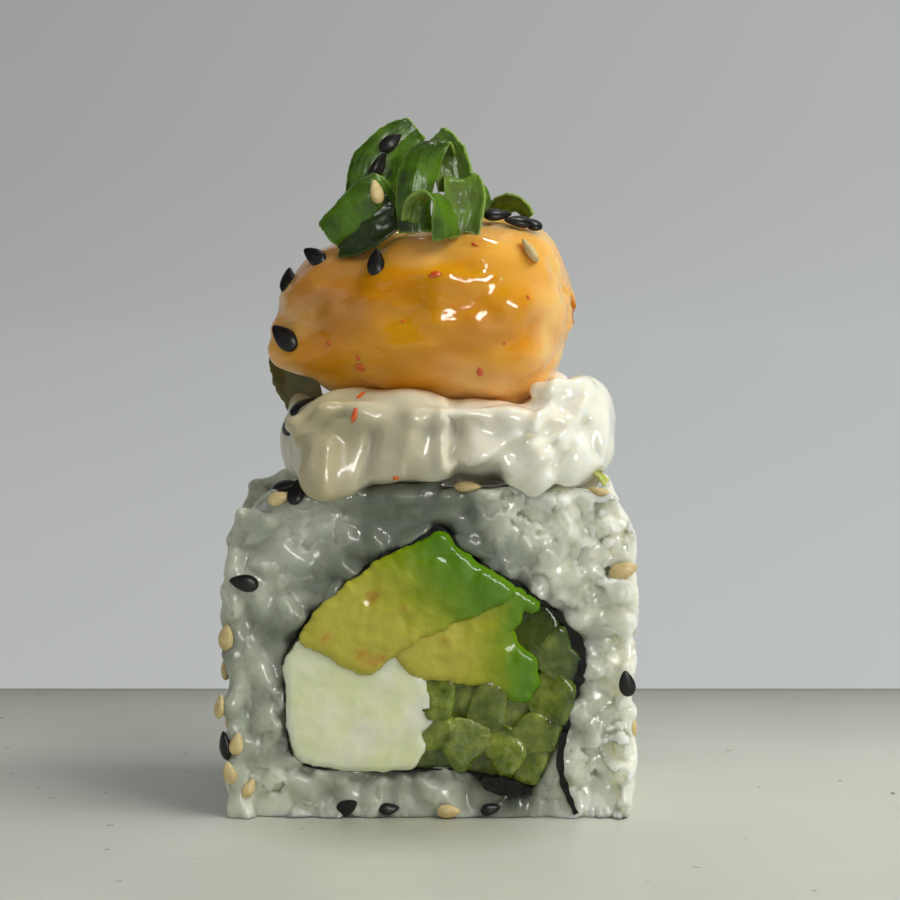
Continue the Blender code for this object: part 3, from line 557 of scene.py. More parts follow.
def rolled_outline(inset):
    """The outline of the roll at a cut, counter-clockwise from its bottom right corner."""
    outline = []
    for i, radius in enumerate(CORNER_RADII):
        side = 1 if i < 2 else -1
        up = 1 if i in (1, 2) else -1
        x = side * (ROLL_WIDTH / 2 - inset - radius)
        z = ROLL_HEIGHT - inset - radius if up > 0 else inset + radius
        for step in range(CORNER_STEPS + 1):
            angle = math.radians(-90 + 90 * i + 90 * step / CORNER_STEPS)
            outline.append((x + radius * math.cos(angle), z + radius * math.sin(angle)))
    return np.array(outline)


sheet_line = smooth_line(NORI_LINE, LINE_SPANS)
tail_line = sheet_line[:NORI_TAIL * LINE_SPANS + 1]
along_sheet = np.linspace(0, 1, len(sheet_line))
rice_offset = np.interp(along_sheet, (0.0, 0.3, 0.45, 1.0), (0.12, 0.12, -0.1, -0.2))
rice_offset += [0.2 * noise.noise(Vector((x / 1.3, 0.0, z / 1.3))) for x, z in sheet_line]
sheet_outside = sheet_line - left_of(sheet_line) * rice_offset[:, None]
filled_space = sheet_outside[NORI_TAIL * LINE_SPANS:]
spans = np.linalg.norm(np.diff(sheet_line, axis=0), axis=1)
print("the nori is", round(float(spans.sum())), "mm long")

# %% [markdown]
# Cooked rice is what this roll is made of, and its grains show everywhere: whole ones on the rolled
# sides, and crushed ones on the two cuts. Hundreds of separate grains would look like dry rice. So
# we scatter grains over a solid core and melt them together. First comes one grain, made of rings
# of points, and the move that lays it on a surface.

# %% One grain, and how it is laid
GRAIN_SIDES = 9
GRAIN_RINGS = 8
RNG = random.Random(5)
noise.seed_set(5)  # without a seed, noise vectors differ from run to run


def grain_points(length, thick, bend):
    """A cooked grain along X: blunt ends, a little flat, and slightly bent."""
    points = []
    for ring in range(GRAIN_RINGS + 1):
        along = math.cos(math.pi * ring / GRAIN_RINGS)
        around = (1 - abs(along) ** 2.6) ** 0.5
        for side in range(GRAIN_SIDES):
            angle = 2 * math.pi * side / GRAIN_SIDES
            points.append((along * length / 2, around * math.cos(angle) * thick / 2,
                           around * math.sin(angle) * thick * 0.42 + bend * (along**2 - 0.5)))
    return np.array(points)


def tube_faces(rings, sides):
    """Faces of a stack of rings, closed at both ends."""
    faces = []
    for ring in range(rings):
        low_ring, next_ring = ring * sides, (ring + 1) * sides
        for side in range(sides):
            after = (side + 1) % sides
            faces.append((low_ring + side, low_ring + after, next_ring + after, next_ring + side))
    faces.append(tuple(range(sides))[::-1])
    faces.append(tuple(rings * sides + side for side in range(sides)))
    return faces


GRAIN_FACES = tube_faces(GRAIN_RINGS, GRAIN_SIDES)


def laid(points, place, outward, spin, tilt=0.0):
    """Turns a piece that lies in its XY plane so that it lies on a surface."""
    up = Vector(outward).normalized()
    turn = up.to_track_quat("Z", "Y").to_matrix() @ Matrix.Rotation(spin, 3, "Z")
    turn = np.array(turn @ Matrix.Rotation(tilt, 3, "Y"))
    return points @ turn.T + np.asarray(place, float)


print("a grain has", len(GRAIN_FACES), "faces")

# %% [markdown]
# The rolled sides get rows of grains that lie flat on the outline, each a little askew. The cuts
# get shorter pieces of grain at random, wherever there is rice and not filling. The underside,
# which nobody sees, gets none.

# %% Scatter the grains
GRAIN_THICK = 2.4
SIDE_COLUMNS, SIDE_ROWS = 50, 9
CUT_COLUMNS, CUT_ROWS = 18, 16


def along_outline(outline, share):
    """A place on a closed outline by its share of the way round, and the outward direction."""
    closed = np.vstack([outline, outline[:1]])
    spans = np.linalg.norm(np.diff(closed, axis=0), axis=1)
    reach = np.concatenate([[0.0], np.cumsum(spans)])
    at = (share % 1.0) * reach[-1]
    i = min(int(np.searchsorted(reach, at, side="right")) - 1, len(spans) - 1)
    along = (closed[i + 1] - closed[i]) / spans[i]
    return closed[i] + along * (at - reach[i]), np.array([along[1], -along[0]])


def scattered_grains():
    """The points of every grain, each a little different."""
    grains = []
    outline = rolled_outline(GRAIN_THICK * 0.45)
    for i in range(SIDE_COLUMNS):
        for j in range(SIDE_ROWS):
            share = (i + 0.5 * (j % 2) + RNG.uniform(-0.3, 0.3)) / SIDE_COLUMNS
            place, outward = along_outline(outline, share)
            if outward[1] < -0.9:
                continue
            depth = FRONT_CUT + (j + 0.5 + RNG.uniform(-0.3, 0.3)) * ROLL_DEPTH / SIDE_ROWS
            sunk = RNG.uniform(-0.2, 0.35)
            points = grain_points(RNG.uniform(5.0, 6.8), GRAIN_THICK * RNG.uniform(0.9, 1.1),
                                  RNG.uniform(0.0, 0.5))
            centre = (place[0] - outward[0] * sunk, depth, place[1] - outward[1] * sunk)
            grains.append(laid(points, centre, (outward[0], 0.0, outward[1]),
                               RNG.uniform(0, math.pi), RNG.uniform(-0.2, 0.2)))
    for facing, cut in ((-1, FRONT_CUT), (1, REAR_CUT)):
        for i in range(CUT_COLUMNS):
            for j in range(CUT_ROWS):
                x = (i + 0.5 + RNG.uniform(-0.45, 0.45)) * ROLL_WIDTH / CUT_COLUMNS - ROLL_WIDTH / 2
                z = (j + 0.5 + RNG.uniform(-0.45, 0.45)) * ROLL_HEIGHT / CUT_ROWS
                thick = GRAIN_THICK * RNG.uniform(0.8, 1.1)
                points = grain_points(RNG.uniform(2.8, 5.2), thick, RNG.uniform(0.0, 0.4))
                depth = cut - facing * (0.42 * thick + RNG.uniform(-0.35, 0.45))
                spin, tilt = RNG.uniform(0, math.pi), RNG.uniform(-0.25, 0.25)
                if not inside(filled_space, np.array([[x, z]]))[0]:
                    grains.append(laid(points, (x, depth, z), (0.0, facing, 0.0), spin, tilt))
    return grains


grains = scattered_grains()
print(len(grains), "grains")

# %% [markdown]
# Some grains reach too far. Those that pass a cut or the outline are pressed back, and those that
# enter the filling or touch the nori are pushed off it. Behind them lies a solid core, which fills
# the space between the outline and the nori.

# %% Keep the rice in its place
CORE_INSET = 1.0
CORE_STEPS = 160
TAIL_CLEARANCE = 0.65


def keep_rice_in_place(points):
    """Presses grains flat at the cuts and the board, and off the nori and out of the filling."""
    for cut, facing in ((FRONT_CUT, -1), (REAR_CUT, 1)):
        proud = (points[:, 1] - cut) * facing
        points[:, 1] = np.where(proud > 0, cut + facing * proud * 0.5, points[:, 1])
    flat = points[:, [0, 2]]
    low_edge = rolled_outline(0.0)
    outside = ~inside(low_edge, flat)
    near, _ = nearest_on(np.vstack([low_edge, low_edge[:1]]), flat)
    flat[outside] = near[outside] + (flat - near)[outside] * 0.35
    buried = inside(filled_space, flat)
    near, _ = nearest_on(filled_space, flat)
    flat[buried] = near[buried]
    near, far = nearest_on(tail_line, flat)
    close = far < TAIL_CLEARANCE
    away = (flat - near) / np.maximum(far, 1e-6)[:, None]
    flat[close] = near[close] + away[close] * TAIL_CLEARANCE
    points[:, 0], points[:, 2] = flat[:, 0], np.maximum(flat[:, 1], 0.05)
    return points


def core_with_a_hole():
    """The solid rice behind the grains: a ring with the nori's outer side as its hole."""
    outer = rolled_outline(CORE_INSET)
    outer[:, 1] = np.where(outer[:, 1] < 4.0, (outer[:, 1] - CORE_INSET) * 1.25 + 0.25, outer[:, 1])
    share = np.linspace(0, 1, CORE_STEPS, endpoint=False)
    ring = np.array([along_outline(outer, s)[0] for s in share])
    hole, _ = nearest_on(np.vstack([filled_space, filled_space[:1]]), ring)
    count = len(ring)
    points, faces = [], []
    for depth in (FRONT_CUT + CORE_INSET, REAR_CUT - CORE_INSET):
        points += [(x, depth, z) for x, z in ring] + [(x, depth, z) for x, z in hole]
    for i in range(count):
        j = (i + 1) % count
        front_out, front_in, rear_out, rear_in = 0, count, 2 * count, 3 * count
        faces += [(front_out + i, front_out + j, front_in + j, front_in + i),
                  (rear_out + j, rear_out + i, rear_in + i, rear_in + j),
                  (front_out + j, front_out + i, rear_out + i, rear_out + j),
                  (front_in + i, front_in + j, rear_in + j, rear_in + i)]
    return np.array(points), faces


print("the core has", len(core_with_a_hole()[1]), "faces")

# %% [markdown]
# Rice is white where air is mixed in, and grey and glassy where it is pressed and wet. Light enters
# it and spreads about two millimetres. Three numbers from the mesh steer the finish: how glassy a
# point is, with painted shade mixed into it, which grain it belongs to, and how deep it lies, which
# paints shade into the crevices. Glassy rice is smoother and less shiny.

# %% The rice's finish
rice_finish, tree, shader = new_finish("rice", 0.40, coat_roughness=0.07, sheen_of_body=0.3)
let_light_in(shader, 1.0, 2.2, (1.0, 0.97, 0.85))
glass_and_shade = measured(tree, "glassy_and_shade")
# Grey where the number is high: partly glassy rice, partly painted shade.
tone = steps(tree, glass_and_shade, (0.0, screen(253, 252, 234)), (0.35, screen(238, 238, 216)),
             (0.65, screen(206, 209, 190)), (0.85, screen(178, 182, 164)), (1.0, screen(128, 134, 116)))
grain_tone = steps(tree, measured(tree, "grain"), (0.0, (0.78, 0.80, 0.81)), (1.0, (1, 1, 1)))
# Painted shade: darker in the crevices.
painted_crevice_shade = steps(tree, measured(tree, "hollow"), (0.6, (1, 1, 1)), (1.0, (0.72, 0.74, 0.68)))
paint(tree, multiplied(tree, multiplied(tree, tone, grain_tone), painted_crevice_shade), shader)
cracked = tree.nodes.new("ShaderNodeTexVoronoi")
cracked.inputs["Scale"].default_value = 1.0 / (1.5 * MM)
tree.links.new(mapped_place(tree, (1.0, 1.0, 1.0)), cracked.inputs["Vector"])
calm = steps(tree, glass_and_shade, (0.3, (0, 0, 0)), (0.8, (0.75, 0.75, 0.75)))
grey = (0.4, 0.4, 0.4, 1.0)
facets = relief(tree, shader, blend(tree, calm, cracked.outputs["Distance"], grey), 0.05)
relief(tree, shader, blend(tree, calm, patches(tree, 0.45, 3.0), grey), 0.04, facets)
wetness = steps(tree, glass_and_shade, (0.2, (0.8, 0.8, 0.8)), (0.8, (0.4, 0.4, 0.4)))
paint(tree, wetness, shader, "Coat Weight")
print("the rice's finish has", len(tree.nodes), "nodes")

# %% [markdown]
# Now the grains and the core become one piece, and a remesh melts them into one skin. What stays
# is a skin of grains that cling to each other.

# %% Melt the grains
RICE_VOXEL = 0.24
MOST_TRIANGLES = 190000

all_points, all_faces = core_with_a_hole()
for grain in grains:
    start = len(all_points)
    all_faces += [tuple(start + i for i in face) for face in GRAIN_FACES]
    all_points = np.vstack([all_points, keep_rice_in_place(grain)])
rice = add_piece("rice_grains", all_points, all_faces, rice_finish, "rice", "rice")
melt(rice, RICE_VOXEL, 1, MOST_TRIANGLES)
report_piece(rice)

# %% [markdown]
# Where is the rice glassy? Close to the nori. The same number also carries painted shade: darker to
# the left, away from the window, and over the peak of the filling and under the sauce, where the
# cream shades it. It is darker along the board too, more so to the right. We add up these parts for
# each point, with some noise so that no border shows.

# %% Where the rice is glassy, and where shade is painted
def rising(values, start, width):
    """0 below the start, 1 a width beyond it, and straight between."""
    return np.clip((values - start) / width, 0, 1)


def falling(values, end, width):
    """1 a width below the end, and 0 beyond it."""
    return np.clip((end - values) / width, 0, 1)


rice_points = points_of(rice)
across, height = rice_points[:, 0], rice_points[:, 2]
_, from_nori = nearest_on(filled_space, rice_points[:, [0, 2]])
from_peak = np.hypot((across - 1.8) / 1.5, height - 30.5)
beside_nori = 0.12 + 0.36 * np.clip((across + 12) / 10 + rising(height, 16, 3), 0, 1)
# Painted shade of the cream on the top of the rice.
painted_shade_under_sauce = rising(height, 30.5, 2) * falling(across, 6, 8) * rising(across, -16, 4)
on_board = (0.12 + across / 45.0) * falling(height, 6, 2) * falling(across, 13, 2)
# Painted shade: darker to the left. Glassy rice: close to the nori.
glassy_and_shade = 0.42 - across / 48.0 + beside_nori * np.exp(-(from_nori / 3.8) ** 2)
# Painted shade over the peak of the filling and under the sauce; darker along the board.
glassy_and_shade += 0.65 * np.exp(-(from_peak / 5.0) ** 2) + 0.2 * painted_shade_under_sauce + on_board
glassy_and_shade = np.clip(glassy_and_shade + 0.25 * ripple(rice_points, 5.0, 8.0), 0.0, 1.0)
store(rice, "glassy_and_shade", glassy_and_shade)
print("the rice is glassy by", round(float(glassy_and_shade.mean()), 2), "on average")

# %% [markdown]
# A knife crushes the grains at the cut into flat, angular flakes. We smooth the grains away there,
# press the foot of the rice down to the board, and then step the cut in and out by flake. Voronoi
# cells decide which points make one flake, how far it stands out, and which way it tilts.

# %% The crushed cut
CHUNK_SIZE = 2.8
CRUSHED_DEPTH = 1.9
FOOT_HEIGHT = 2.6


def flake_height(point):
    """How far the flake at this point stands out of the cut, in millimetres."""
    spot = Vector(point) / CHUNK_SIZE
    spot += 0.35 * noise.noise_vector(spot * 1.7)
    middle = noise.voronoi(spot)[1][0]
    tilt = noise.noise_vector(middle * 7.3).dot(spot - middle)
    return 0.8 * noise.noise(middle * 3.1) + 1.9 * tilt


to_cut = np.minimum(np.abs(rice_points[:, 1] - FRONT_CUT), np.abs(rice_points[:, 1] - REAR_CUT))
crushed = np.clip(CRUSHED_DEPTH - to_cut, 0, 1)
blur = np.clip(np.maximum(1.2 * glassy_and_shade - 0.2, crushed * (0.85 + 0.2 * glassy_and_shade)), 0.0, 1.0)
blur = (blur * np.clip(from_nori / 2.2, 0.2, 1))[:, None]
rice_points = rice_points * (1 - blur) + averaged(rice, rice_points, 26) * blur
foot = np.clip(1 - height / FOOT_HEIGHT, 0, 1)
rice_points[:, 2] = np.maximum(rice_points[:, 2] - 1.3 * foot, 0.05)
outwards = np.where(rice_points[:, 1] < 0, -1, 1)
rice_points[:, 1] += 0.6 * outwards * foot * np.clip(2.4 - to_cut, 0, 1)
flakes = np.zeros(len(rice_points))
for i in np.flatnonzero(crushed > 0.01):
    flakes[i] = flake_height(rice_points[i])
rice_points[:, 1] += np.where(rice_points[:, 1] < 0, -1, 1) * flakes * crushed * np.clip(
    0.95 - 0.85 * glassy_and_shade, 0.12, 0.95)
put_points(rice, rice_points)
store_hollows(rice, 12, 0.3)
report_piece(rice)

# %% [markdown]
# No two grains have quite the same tone. Each grain draws one, and every point of the skin takes
# the tone of the grain that lies nearest.

# %% A tone for each grain
nearest_grain = KDTree(sum(len(grain) for grain in grains))
tones = []
for grain in grains:
    value = RNG.random()
    for point in grain:
        nearest_grain.insert(point, len(tones))
        tones.append(value)
nearest_grain.balance()
store(rice, "grain", [tones[nearest_grain.find(point)[1]] for point in rice_points])
print("the tones run from", round(min(tones), 2), "to", round(max(tones), 2))

# %% [markdown]
# Nori is a thin sheet of pressed seaweed. At the cut it shows as a dark, slightly ragged line that
# is crumpled thicker in a few places. We thicken the line to both sides, with noise to make it
# uneven. It is thickest in the seam, and thin where the filling presses it.

# %% The nori's outline at one depth
# Folds: share of the way along the sheet, height in millimetres, and spread
NORI_FOLDS = [(0.205, 0.9, 0.022), (0.42, 0.5, 0.012), (0.965, 1.5, 0.03)]
# How many times the plain thickness it has, by the share of the way along
THICKER_AT = ((0.0, 0.12, 0.3, 0.45, 0.55, 0.9, 1.0), (1.9, 1.9, 1.3, 1.0, 0.4, 0.4, 1.2))
TAIL_SHARE = 0.125
FINE_SPANS = 18
fine_line = smooth_line(NORI_LINE, FINE_SPANS)

nori_finish, tree, shader = new_finish("nori", 0.6, sheen_of_body=0.25)
flecks = steps(tree, patches(tree, 0.8, 5.0), (0.4, screen(5, 7, 4)), (0.66, screen(14, 20, 7)),
               (0.85, screen(40, 52, 14)))
paint(tree, flecks, shader)
relief(tree, shader, patches(tree, 0.3, 5.0), 0.12)


def nori_ring(depth):
    """The sheet's outline at one depth."""
    places = np.linspace(0, 1, len(fine_line))
    wave = np.array([noise.noise(Vector((p[0] / 2.6, depth / 3.0, p[1] / 2.6))) for p in fine_line])
    thin = np.array([noise.noise(Vector((p[0] / 1.3, depth / 1.3, p[1] / 1.3 + 9))) for p in fine_line])
    thick = NORI_THICK / 2 * (0.75 + 0.5 * thin)
    thick *= np.interp(places, *THICKER_AT)
    rough = np.where(places < TAIL_SHARE, 0.5, 1.6)
    thick *= np.clip(1 + rough * thin, 0.25, 2.2)
    fold = sum(h * np.exp(-(((places - at) / spread) ** 2)) for at, h, spread in NORI_FOLDS)
    side = left_of(fine_line)
    middle = fine_line + side * (wave * 0.12)[:, None]
    inner = middle + side * (thick + fold)[:, None]
    outer = middle - side * thick[:, None]
    ring = np.vstack([inner, outer[::-1]])
    return [(x, depth, max(z, 0.05)) for x, z in ring]


print("the nori's outline has", len(nori_ring(0.0)), "points")

# %% [markdown]
# The outline is carried through the roll in many slices that waver a little. At the two cuts the
# edge is ragged, and it stands out a little more in the seam and at the fold of the inner end.

# %% The nori
NORI_SLICES = 30
NORI_INSET = 0.12
RAGGED = 0.3
TAIL_STANDS_OUT, FOLD_STANDS_OUT = 0.6, 0.9

nori_points, nori_faces = [], []
half = len(fine_line)
per_ring = 2 * half
for step in range(NORI_SLICES + 1):
    depth = FRONT_CUT + NORI_INSET + (ROLL_DEPTH - 2 * NORI_INSET) * step / NORI_SLICES
    ring = np.array(nori_ring(depth))
    if step in (0, NORI_SLICES):
        ragged = RAGGED * ripple(ring, 0.9, 4.0)[:half]
        ragged[:NORI_TAIL * FINE_SPANS] -= TAIL_STANDS_OUT
        ragged[int(0.93 * half):] -= FOLD_STANDS_OUT
        ring[:, 1] += np.concatenate([ragged, ragged[::-1]]) * (1 if step == 0 else -1)
    nori_points.append(ring)
for step in range(NORI_SLICES):
    a, b = step * per_ring, (step + 1) * per_ring
    for i in range(per_ring):
        j = (i + 1) % per_ring
        nori_faces.append((a + i, b + i, b + j, a + j))
for base, flip in ((0, False), (NORI_SLICES * per_ring, True)):
    for i in range(half - 1):
        quad = (base + i, base + i + 1, base + per_ring - 2 - i, base + per_ring - 1 - i)
        nori_faces.append(quad[::-1] if flip else quad)
nori_sheet = add_piece("nori_sheet", np.vstack(nori_points), nori_faces, nori_finish, "nori", "nori")
nori_sheet.data.set_sharp_from_angle(angle=math.radians(50))
report_piece(nori_sheet)

# %% [markdown]
# The filling is soft: cream cheese, two slices of avocado and a bundle of cucumber strips. The
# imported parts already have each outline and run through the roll, but with hard edges and small
# gaps between them. So we remesh a copy of each, smooth it until its edges are round, and swell it
# until it nearly touches its neighbours. It flares a little more at the cuts, where a knife has
# dragged it, and noise gives it dents.

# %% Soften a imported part
def softened(name, node, finish, voxel_mm, rounds, swell, dents, dent_size, flare,
             proud=0.05, lean=0.0):
    """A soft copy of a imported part. All lengths are in millimetres, and proud is how far it
    stands out of the cut."""
    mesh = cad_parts[node].data.copy()
    mesh.materials.clear()
    mesh.materials.append(finish)
    made = bpy.data.objects.new(name, mesh)
    bpy.context.scene.collection.objects.link(made)
    melt(made, voxel_mm, rounds)
    points = points_of(made)
    fine = ripple(points, dent_size / 3, 5.0)
    lift = swell + dents * ripple(points, dent_size) + 0.5 * dents * fine
    points += normals_of(made) * lift[:, None]
    low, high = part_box(node)
    middle = (low + high) / 2 / MM
    to_cut = np.minimum(points[:, 1] - low.y / MM, high.y / MM - points[:, 1])
    sideways = normals_of(made) * (1, 0, 1)
    points += sideways * (flare * np.clip(1 - to_cut / 2.0, 0, 1.2))[:, None]
    slope = (points[:, 0] - middle.x) * RNG.uniform(-lean, lean)
    slope += (points[:, 2] - middle.z + BOARD_TOP) * RNG.uniform(-lean, lean)
    uneven = 0.5 * dents * ripple(points, dent_size, 2.0) + 0.2 * dents * fine
    front, rear = low.y / MM - proud + slope + uneven, high.y / MM + proud - slope + uneven
    points[:, 1] = np.clip(points[:, 1], front, rear)
    put_points(made, points)
    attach(made, "root")
    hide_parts(node)
    return made


print("the cheese to soften has", len(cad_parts["cream_cheese"].data.polygons), "faces")

# %% [markdown]
# The cream cheese is a plain block, white with a hint of green where the cucumber has stained it.
# It lies a little deeper than its neighbours.

# %% Cream cheese
cheese_finish, tree, shader = new_finish("cream_cheese", 0.45, coat=0.15, coat_roughness=0.2)
let_light_in(shader, 0.8, 2.0, (1.0, 0.9, 0.7))
tone = steps(tree, patches(tree, 4.5, 2.0),
             (0.35, screen(240, 240, 214)), (0.65, screen(232, 236, 184)))
paint(tree, tone, shader)
relief(tree, shader, patches(tree, 0.9, 3.0), 0.04)
cheese = softened("cheese_block", "cream_cheese", cheese_finish,
                  voxel_mm=0.33, rounds=3, swell=0.42, dents=0.3, dent_size=3.0, flare=0.2, proud=0.0)
report_piece(cheese)

# %% [markdown]
# Ripe avocado runs from yellow at the stone to green under the skin. The colour follows the place
# on the slice, so we store on each point how near it lies to the skin side, and let the finish
# turn that into yellow or green. The yellow part also has small brown bruises.

# %% The avocado's finish
avocado_finish, tree, shader = new_finish("avocado", 0.42, coat=0.5, coat_roughness=0.08,
                                          sheen_of_body=0.15)
let_light_in(shader, 0.6, 1.5, (0.9, 1.0, 0.3))
tone = steps(tree, measured(tree, "skin_side"),
             (0.0, screen(202, 196, 78)), (0.35, screen(184, 187, 50)), (0.58, screen(148, 166, 6)),
             (0.8, screen(116, 156, 0)), (1.0, screen(96, 146, 0)))
mottle = steps(tree, patches(tree, 1.6, 4.0),
               (0.35, screen(196, 186, 80)), (0.7, screen(236, 226, 150)))
tone = blend(tree, 0.25, tone, mottle, "MULTIPLY")
paint(tree, blend(tree, measured(tree, "bruise"), tone, screen(190, 126, 34)), shader)
lumps = relief(tree, shader, patches(tree, 2.0, 2.0), 0.2)
relief(tree, shader, patches(tree, 0.4, 3.0), 0.03, lumps)
print("the avocado's finish has", len(tree.nodes), "nodes")

# %% [markdown]
# Both slices are made alike. The lower one has a thin tip at its left, which lies over the cheese,
# so we pull its points out that way.

# %% Avocado
# Brown spots: X, height and radius
BRUISES = [(-10.4, 18.6, 0.6), (-5.9, 22.6, 0.6), (-5.2, 23.1, 0.4), (-6.9, 16.9, 0.7),
           (-5.9, 16.1, 0.8), (-4.7, 16.5, 0.6), (1.6, 18.2, 0.4), (-2.6, 21.6, 0.3)]
TIP_LINE = np.array([(-2.9, 17.6), (-0.7, 14.8)])
TIP_REACH = 1.3
TIP_PULL = (-0.75, 0.0, -0.6)
slices = []
for name, node in (("avocado_slice_upper", "avocado_upper"), ("avocado_slice_lower", "avocado_lower")):
    piece = softened(name, node, avocado_finish, voxel_mm=0.3, rounds=3, swell=0.36,
                     dents=0.32, dent_size=2.4, flare=0.35, proud=0.36)
    spots = points_of(piece)
    if node == "avocado_upper":
        green = 0.58 + ((spots[:, 0] + 1.0) * 0.75 + (spots[:, 2] - 24.0) * 0.66) / 10.0
    else:
        green = 0.54 + (spots[:, 0] - 6.6) / 7.0
        _, far = nearest_on(TIP_LINE, spots[:, [0, 2]])
        near_tip = np.clip(1 - far / TIP_REACH, 0, 1)[:, None]
        put_points(piece, spots + near_tip * TIP_PULL)
    store(piece, "skin_side", np.clip(green + 0.12 * ripple(spots, 2.0), 0, 1))
    spots = points_of(piece)
    brown = sum(np.exp(-((spots[:, 0] - x) ** 2 + (spots[:, 2] - z) ** 2) / r**2)
                for x, z, r in BRUISES)
    store(piece, "bruise", np.clip(brown * (0.55 + 0.8 * ripple(spots, 0.6)), 0, 0.7))
    slices.append(piece)
for piece in slices:
    report_piece(piece)

# %% [markdown]
# The cucumber strips are wet and glassy: light goes in and comes out pale green. A deep subsurface
# and a clear coat do that. Some strips are darker than others, and those against the nori still
# carry their dark skin. Both are numbers stored on the points.

# %% The cucumber's finish
cucumber_finish, tree, shader = new_finish("cucumber", 0.3, coat=0.6, coat_roughness=0.10,
                                           sheen_of_body=0.2)
let_light_in(shader, 0.9, 2.6, (0.7, 1.0, 0.35))
flesh = steps(tree, patches(tree, 1.7, 3.0), (0.32, screen(88, 106, 18)), (0.68, screen(160, 172, 72)))
flesh = blend(tree, measured(tree, "shade"), flesh, screen(62, 80, 12))
# Painted shade: darker green in the hollows between strips.
painted_hollow_shade = steps(tree, measured(tree, "hollow"), (0.6, (0, 0, 0)), (1.0, (0.25, 0.25, 0.25)))
flesh = blend(tree, painted_hollow_shade, flesh,
              screen(58, 72, 12))
skin = steps(tree, patches(tree, 1.0, 4.0), (0.3, screen(38, 56, 16)), (0.7, screen(66, 88, 28)))
paint(tree, blend(tree, measured(tree, "skin_side"), flesh, skin), shader)
relief(tree, shader, patches(tree, 1.0, 3.0), 0.16)
print("the cucumber's finish has", len(tree.nodes), "nodes")

# %% [markdown]
# There are fourteen strips. Each leans a little in the cut, so that it catches the light in its own
# way, and each draws its own shade.

# %% Cucumber
STRIPS = 14
SKIN_STRIPS = {"cucumber_13": 0.6, "cucumber_14": 0.9, "cucumber_05": 0.5, "cucumber_11": 0.6}
for number in range(1, STRIPS + 1):
    node = f"cucumber_{number:02d}"
    middle = (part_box(node)[0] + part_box(node)[1]) / 2 / MM
    in_the_middle = 2.5 < middle.x < 9
    strip = softened(f"cucumber_strip_{number:02d}", node, cucumber_finish,
                     voxel_mm=0.27, rounds=1, swell=0.62, dents=0.2, dent_size=1.6,
                     flare=0.3 if in_the_middle else 0.1, proud=0.0, lean=0.16)
    spots = points_of(strip)
    _, far = nearest_on(sheet_line, spots[:, [0, 2]])
    amount = SKIN_STRIPS.get(node, 0.0)
    store(strip, "skin_side", np.clip(amount * (2.6 - far) / 2.0, 0.0, 1.0))
    darker = 0.5 if middle.z - BOARD_TOP > 14 and middle.x > 10 else 0.0
    shade = darker + RNG.uniform(-0.1, 0.45) + 0.25 * ripple(spots, 1.6, number)
    store(strip, "shade", np.clip(shade, 0.0, 0.85))
    store_hollows(strip, 12, 0.3)
print(STRIPS, "strips, the last with", len(strip.data.polygons), "faces")

# %% [markdown]
# The fried prawn is a ball of batter under a smooth orange sauce. Its body is a formula: a blunt
# egg, narrower at the left, with a few broad lobes. The same formula is used later to keep the
# leaves clear of it.

# %% The prawn's form
PRAWN_MIDDLE = Vector((-0.7, -6.2, 50.4))
PRAWN_HALF = Vector((15.0, 9.9, 9.8))
PRAWN_BLUNT = 2.5
PRAWN_TAPER = 0.2
PRAWN_TILT = math.radians(5.0)
# Lobes of the batter: azimuth and elevation in degrees, height as a share, and spread
PRAWN_LOBES = [
    (-74.0, -16.0, 0.16, 0.05), (-74.0, 30.0, 0.05, 0.08), (-48.0, 6.0, -0.05, 0.05),
    (-96.0, -24.0, -0.10, 0.06),
    (-8.0, 30.0, 0.04, 0.12), (38.0, 28.0, 0.04, 0.10), (30.0, -38.0, 0.05, 0.10),
    (86.0, -4.0, 0.05, 0.02), (118.0, 20.0, 0.05, 0.10), (160.0, -10.0, 0.06, 0.12),
    (205.0, 25.0, -0.04, 0.10), (-120.0, -5.0, 0.05, 0.10),
]


def aimed(azimuth, elevation):
    """A unit direction: azimuth 0 is to the front, and 90 to the right."""
    a, e = math.radians(azimuth), math.radians(elevation)
    return Vector((math.sin(a) * math.cos(e), -math.cos(a) * math.cos(e), math.sin(e)))


LOBES = [(aimed(a, e), height, spread) for a, e, height, spread in PRAWN_LOBES]
LEAN = Matrix.Rotation(-PRAWN_TILT, 3, "Y")


def prawn_point(direction, extra=0.0):
    """The point of the prawn's surface in this direction, moved out by extra."""
    share = 1.0 + sum(h * math.exp((direction.dot(d) - 1) / spread) for d, h, spread in LOBES)
    round_share = math.hypot(direction.y, direction.z)
    share /= (abs(direction.x) ** PRAWN_BLUNT + round_share**PRAWN_BLUNT) ** (1 / PRAWN_BLUNT)
    taper = 1 + PRAWN_TAPER * direction.x
    point = Vector((direction.x * PRAWN_HALF.x, direction.y * PRAWN_HALF.y * taper,
                    direction.z * PRAWN_HALF.z * taper)) * share
    return LEAN @ (point + direction * extra) + PRAWN_MIDDLE


print("the prawn's foremost point:", [round(c, 1) for c in prawn_point(aimed(0.0, 0.0))])

# %% [markdown]
# On a fine sphere we push each point out by that formula and by the lumps of the batter, which the
# sauce has smoothed. At the right end a bare crag of fried crumb shows.

# %% The lumps of the batter
CRAG = aimed(88.0, -6.0)
SPHERE_SUBDIVISIONS = 7


def bareness(direction):
    """How bare of sauce the batter is: 0 nearly everywhere, 1 on the crag at the right."""
    patchy = 0.5 * noise.noise(direction * 4.5) + 0.3 * noise.noise(direction * 11.0)
    return min(1.0, max(0.0, 1.5 * math.exp((direction.dot(CRAG) - 1) / 0.06) + patchy - 0.45))


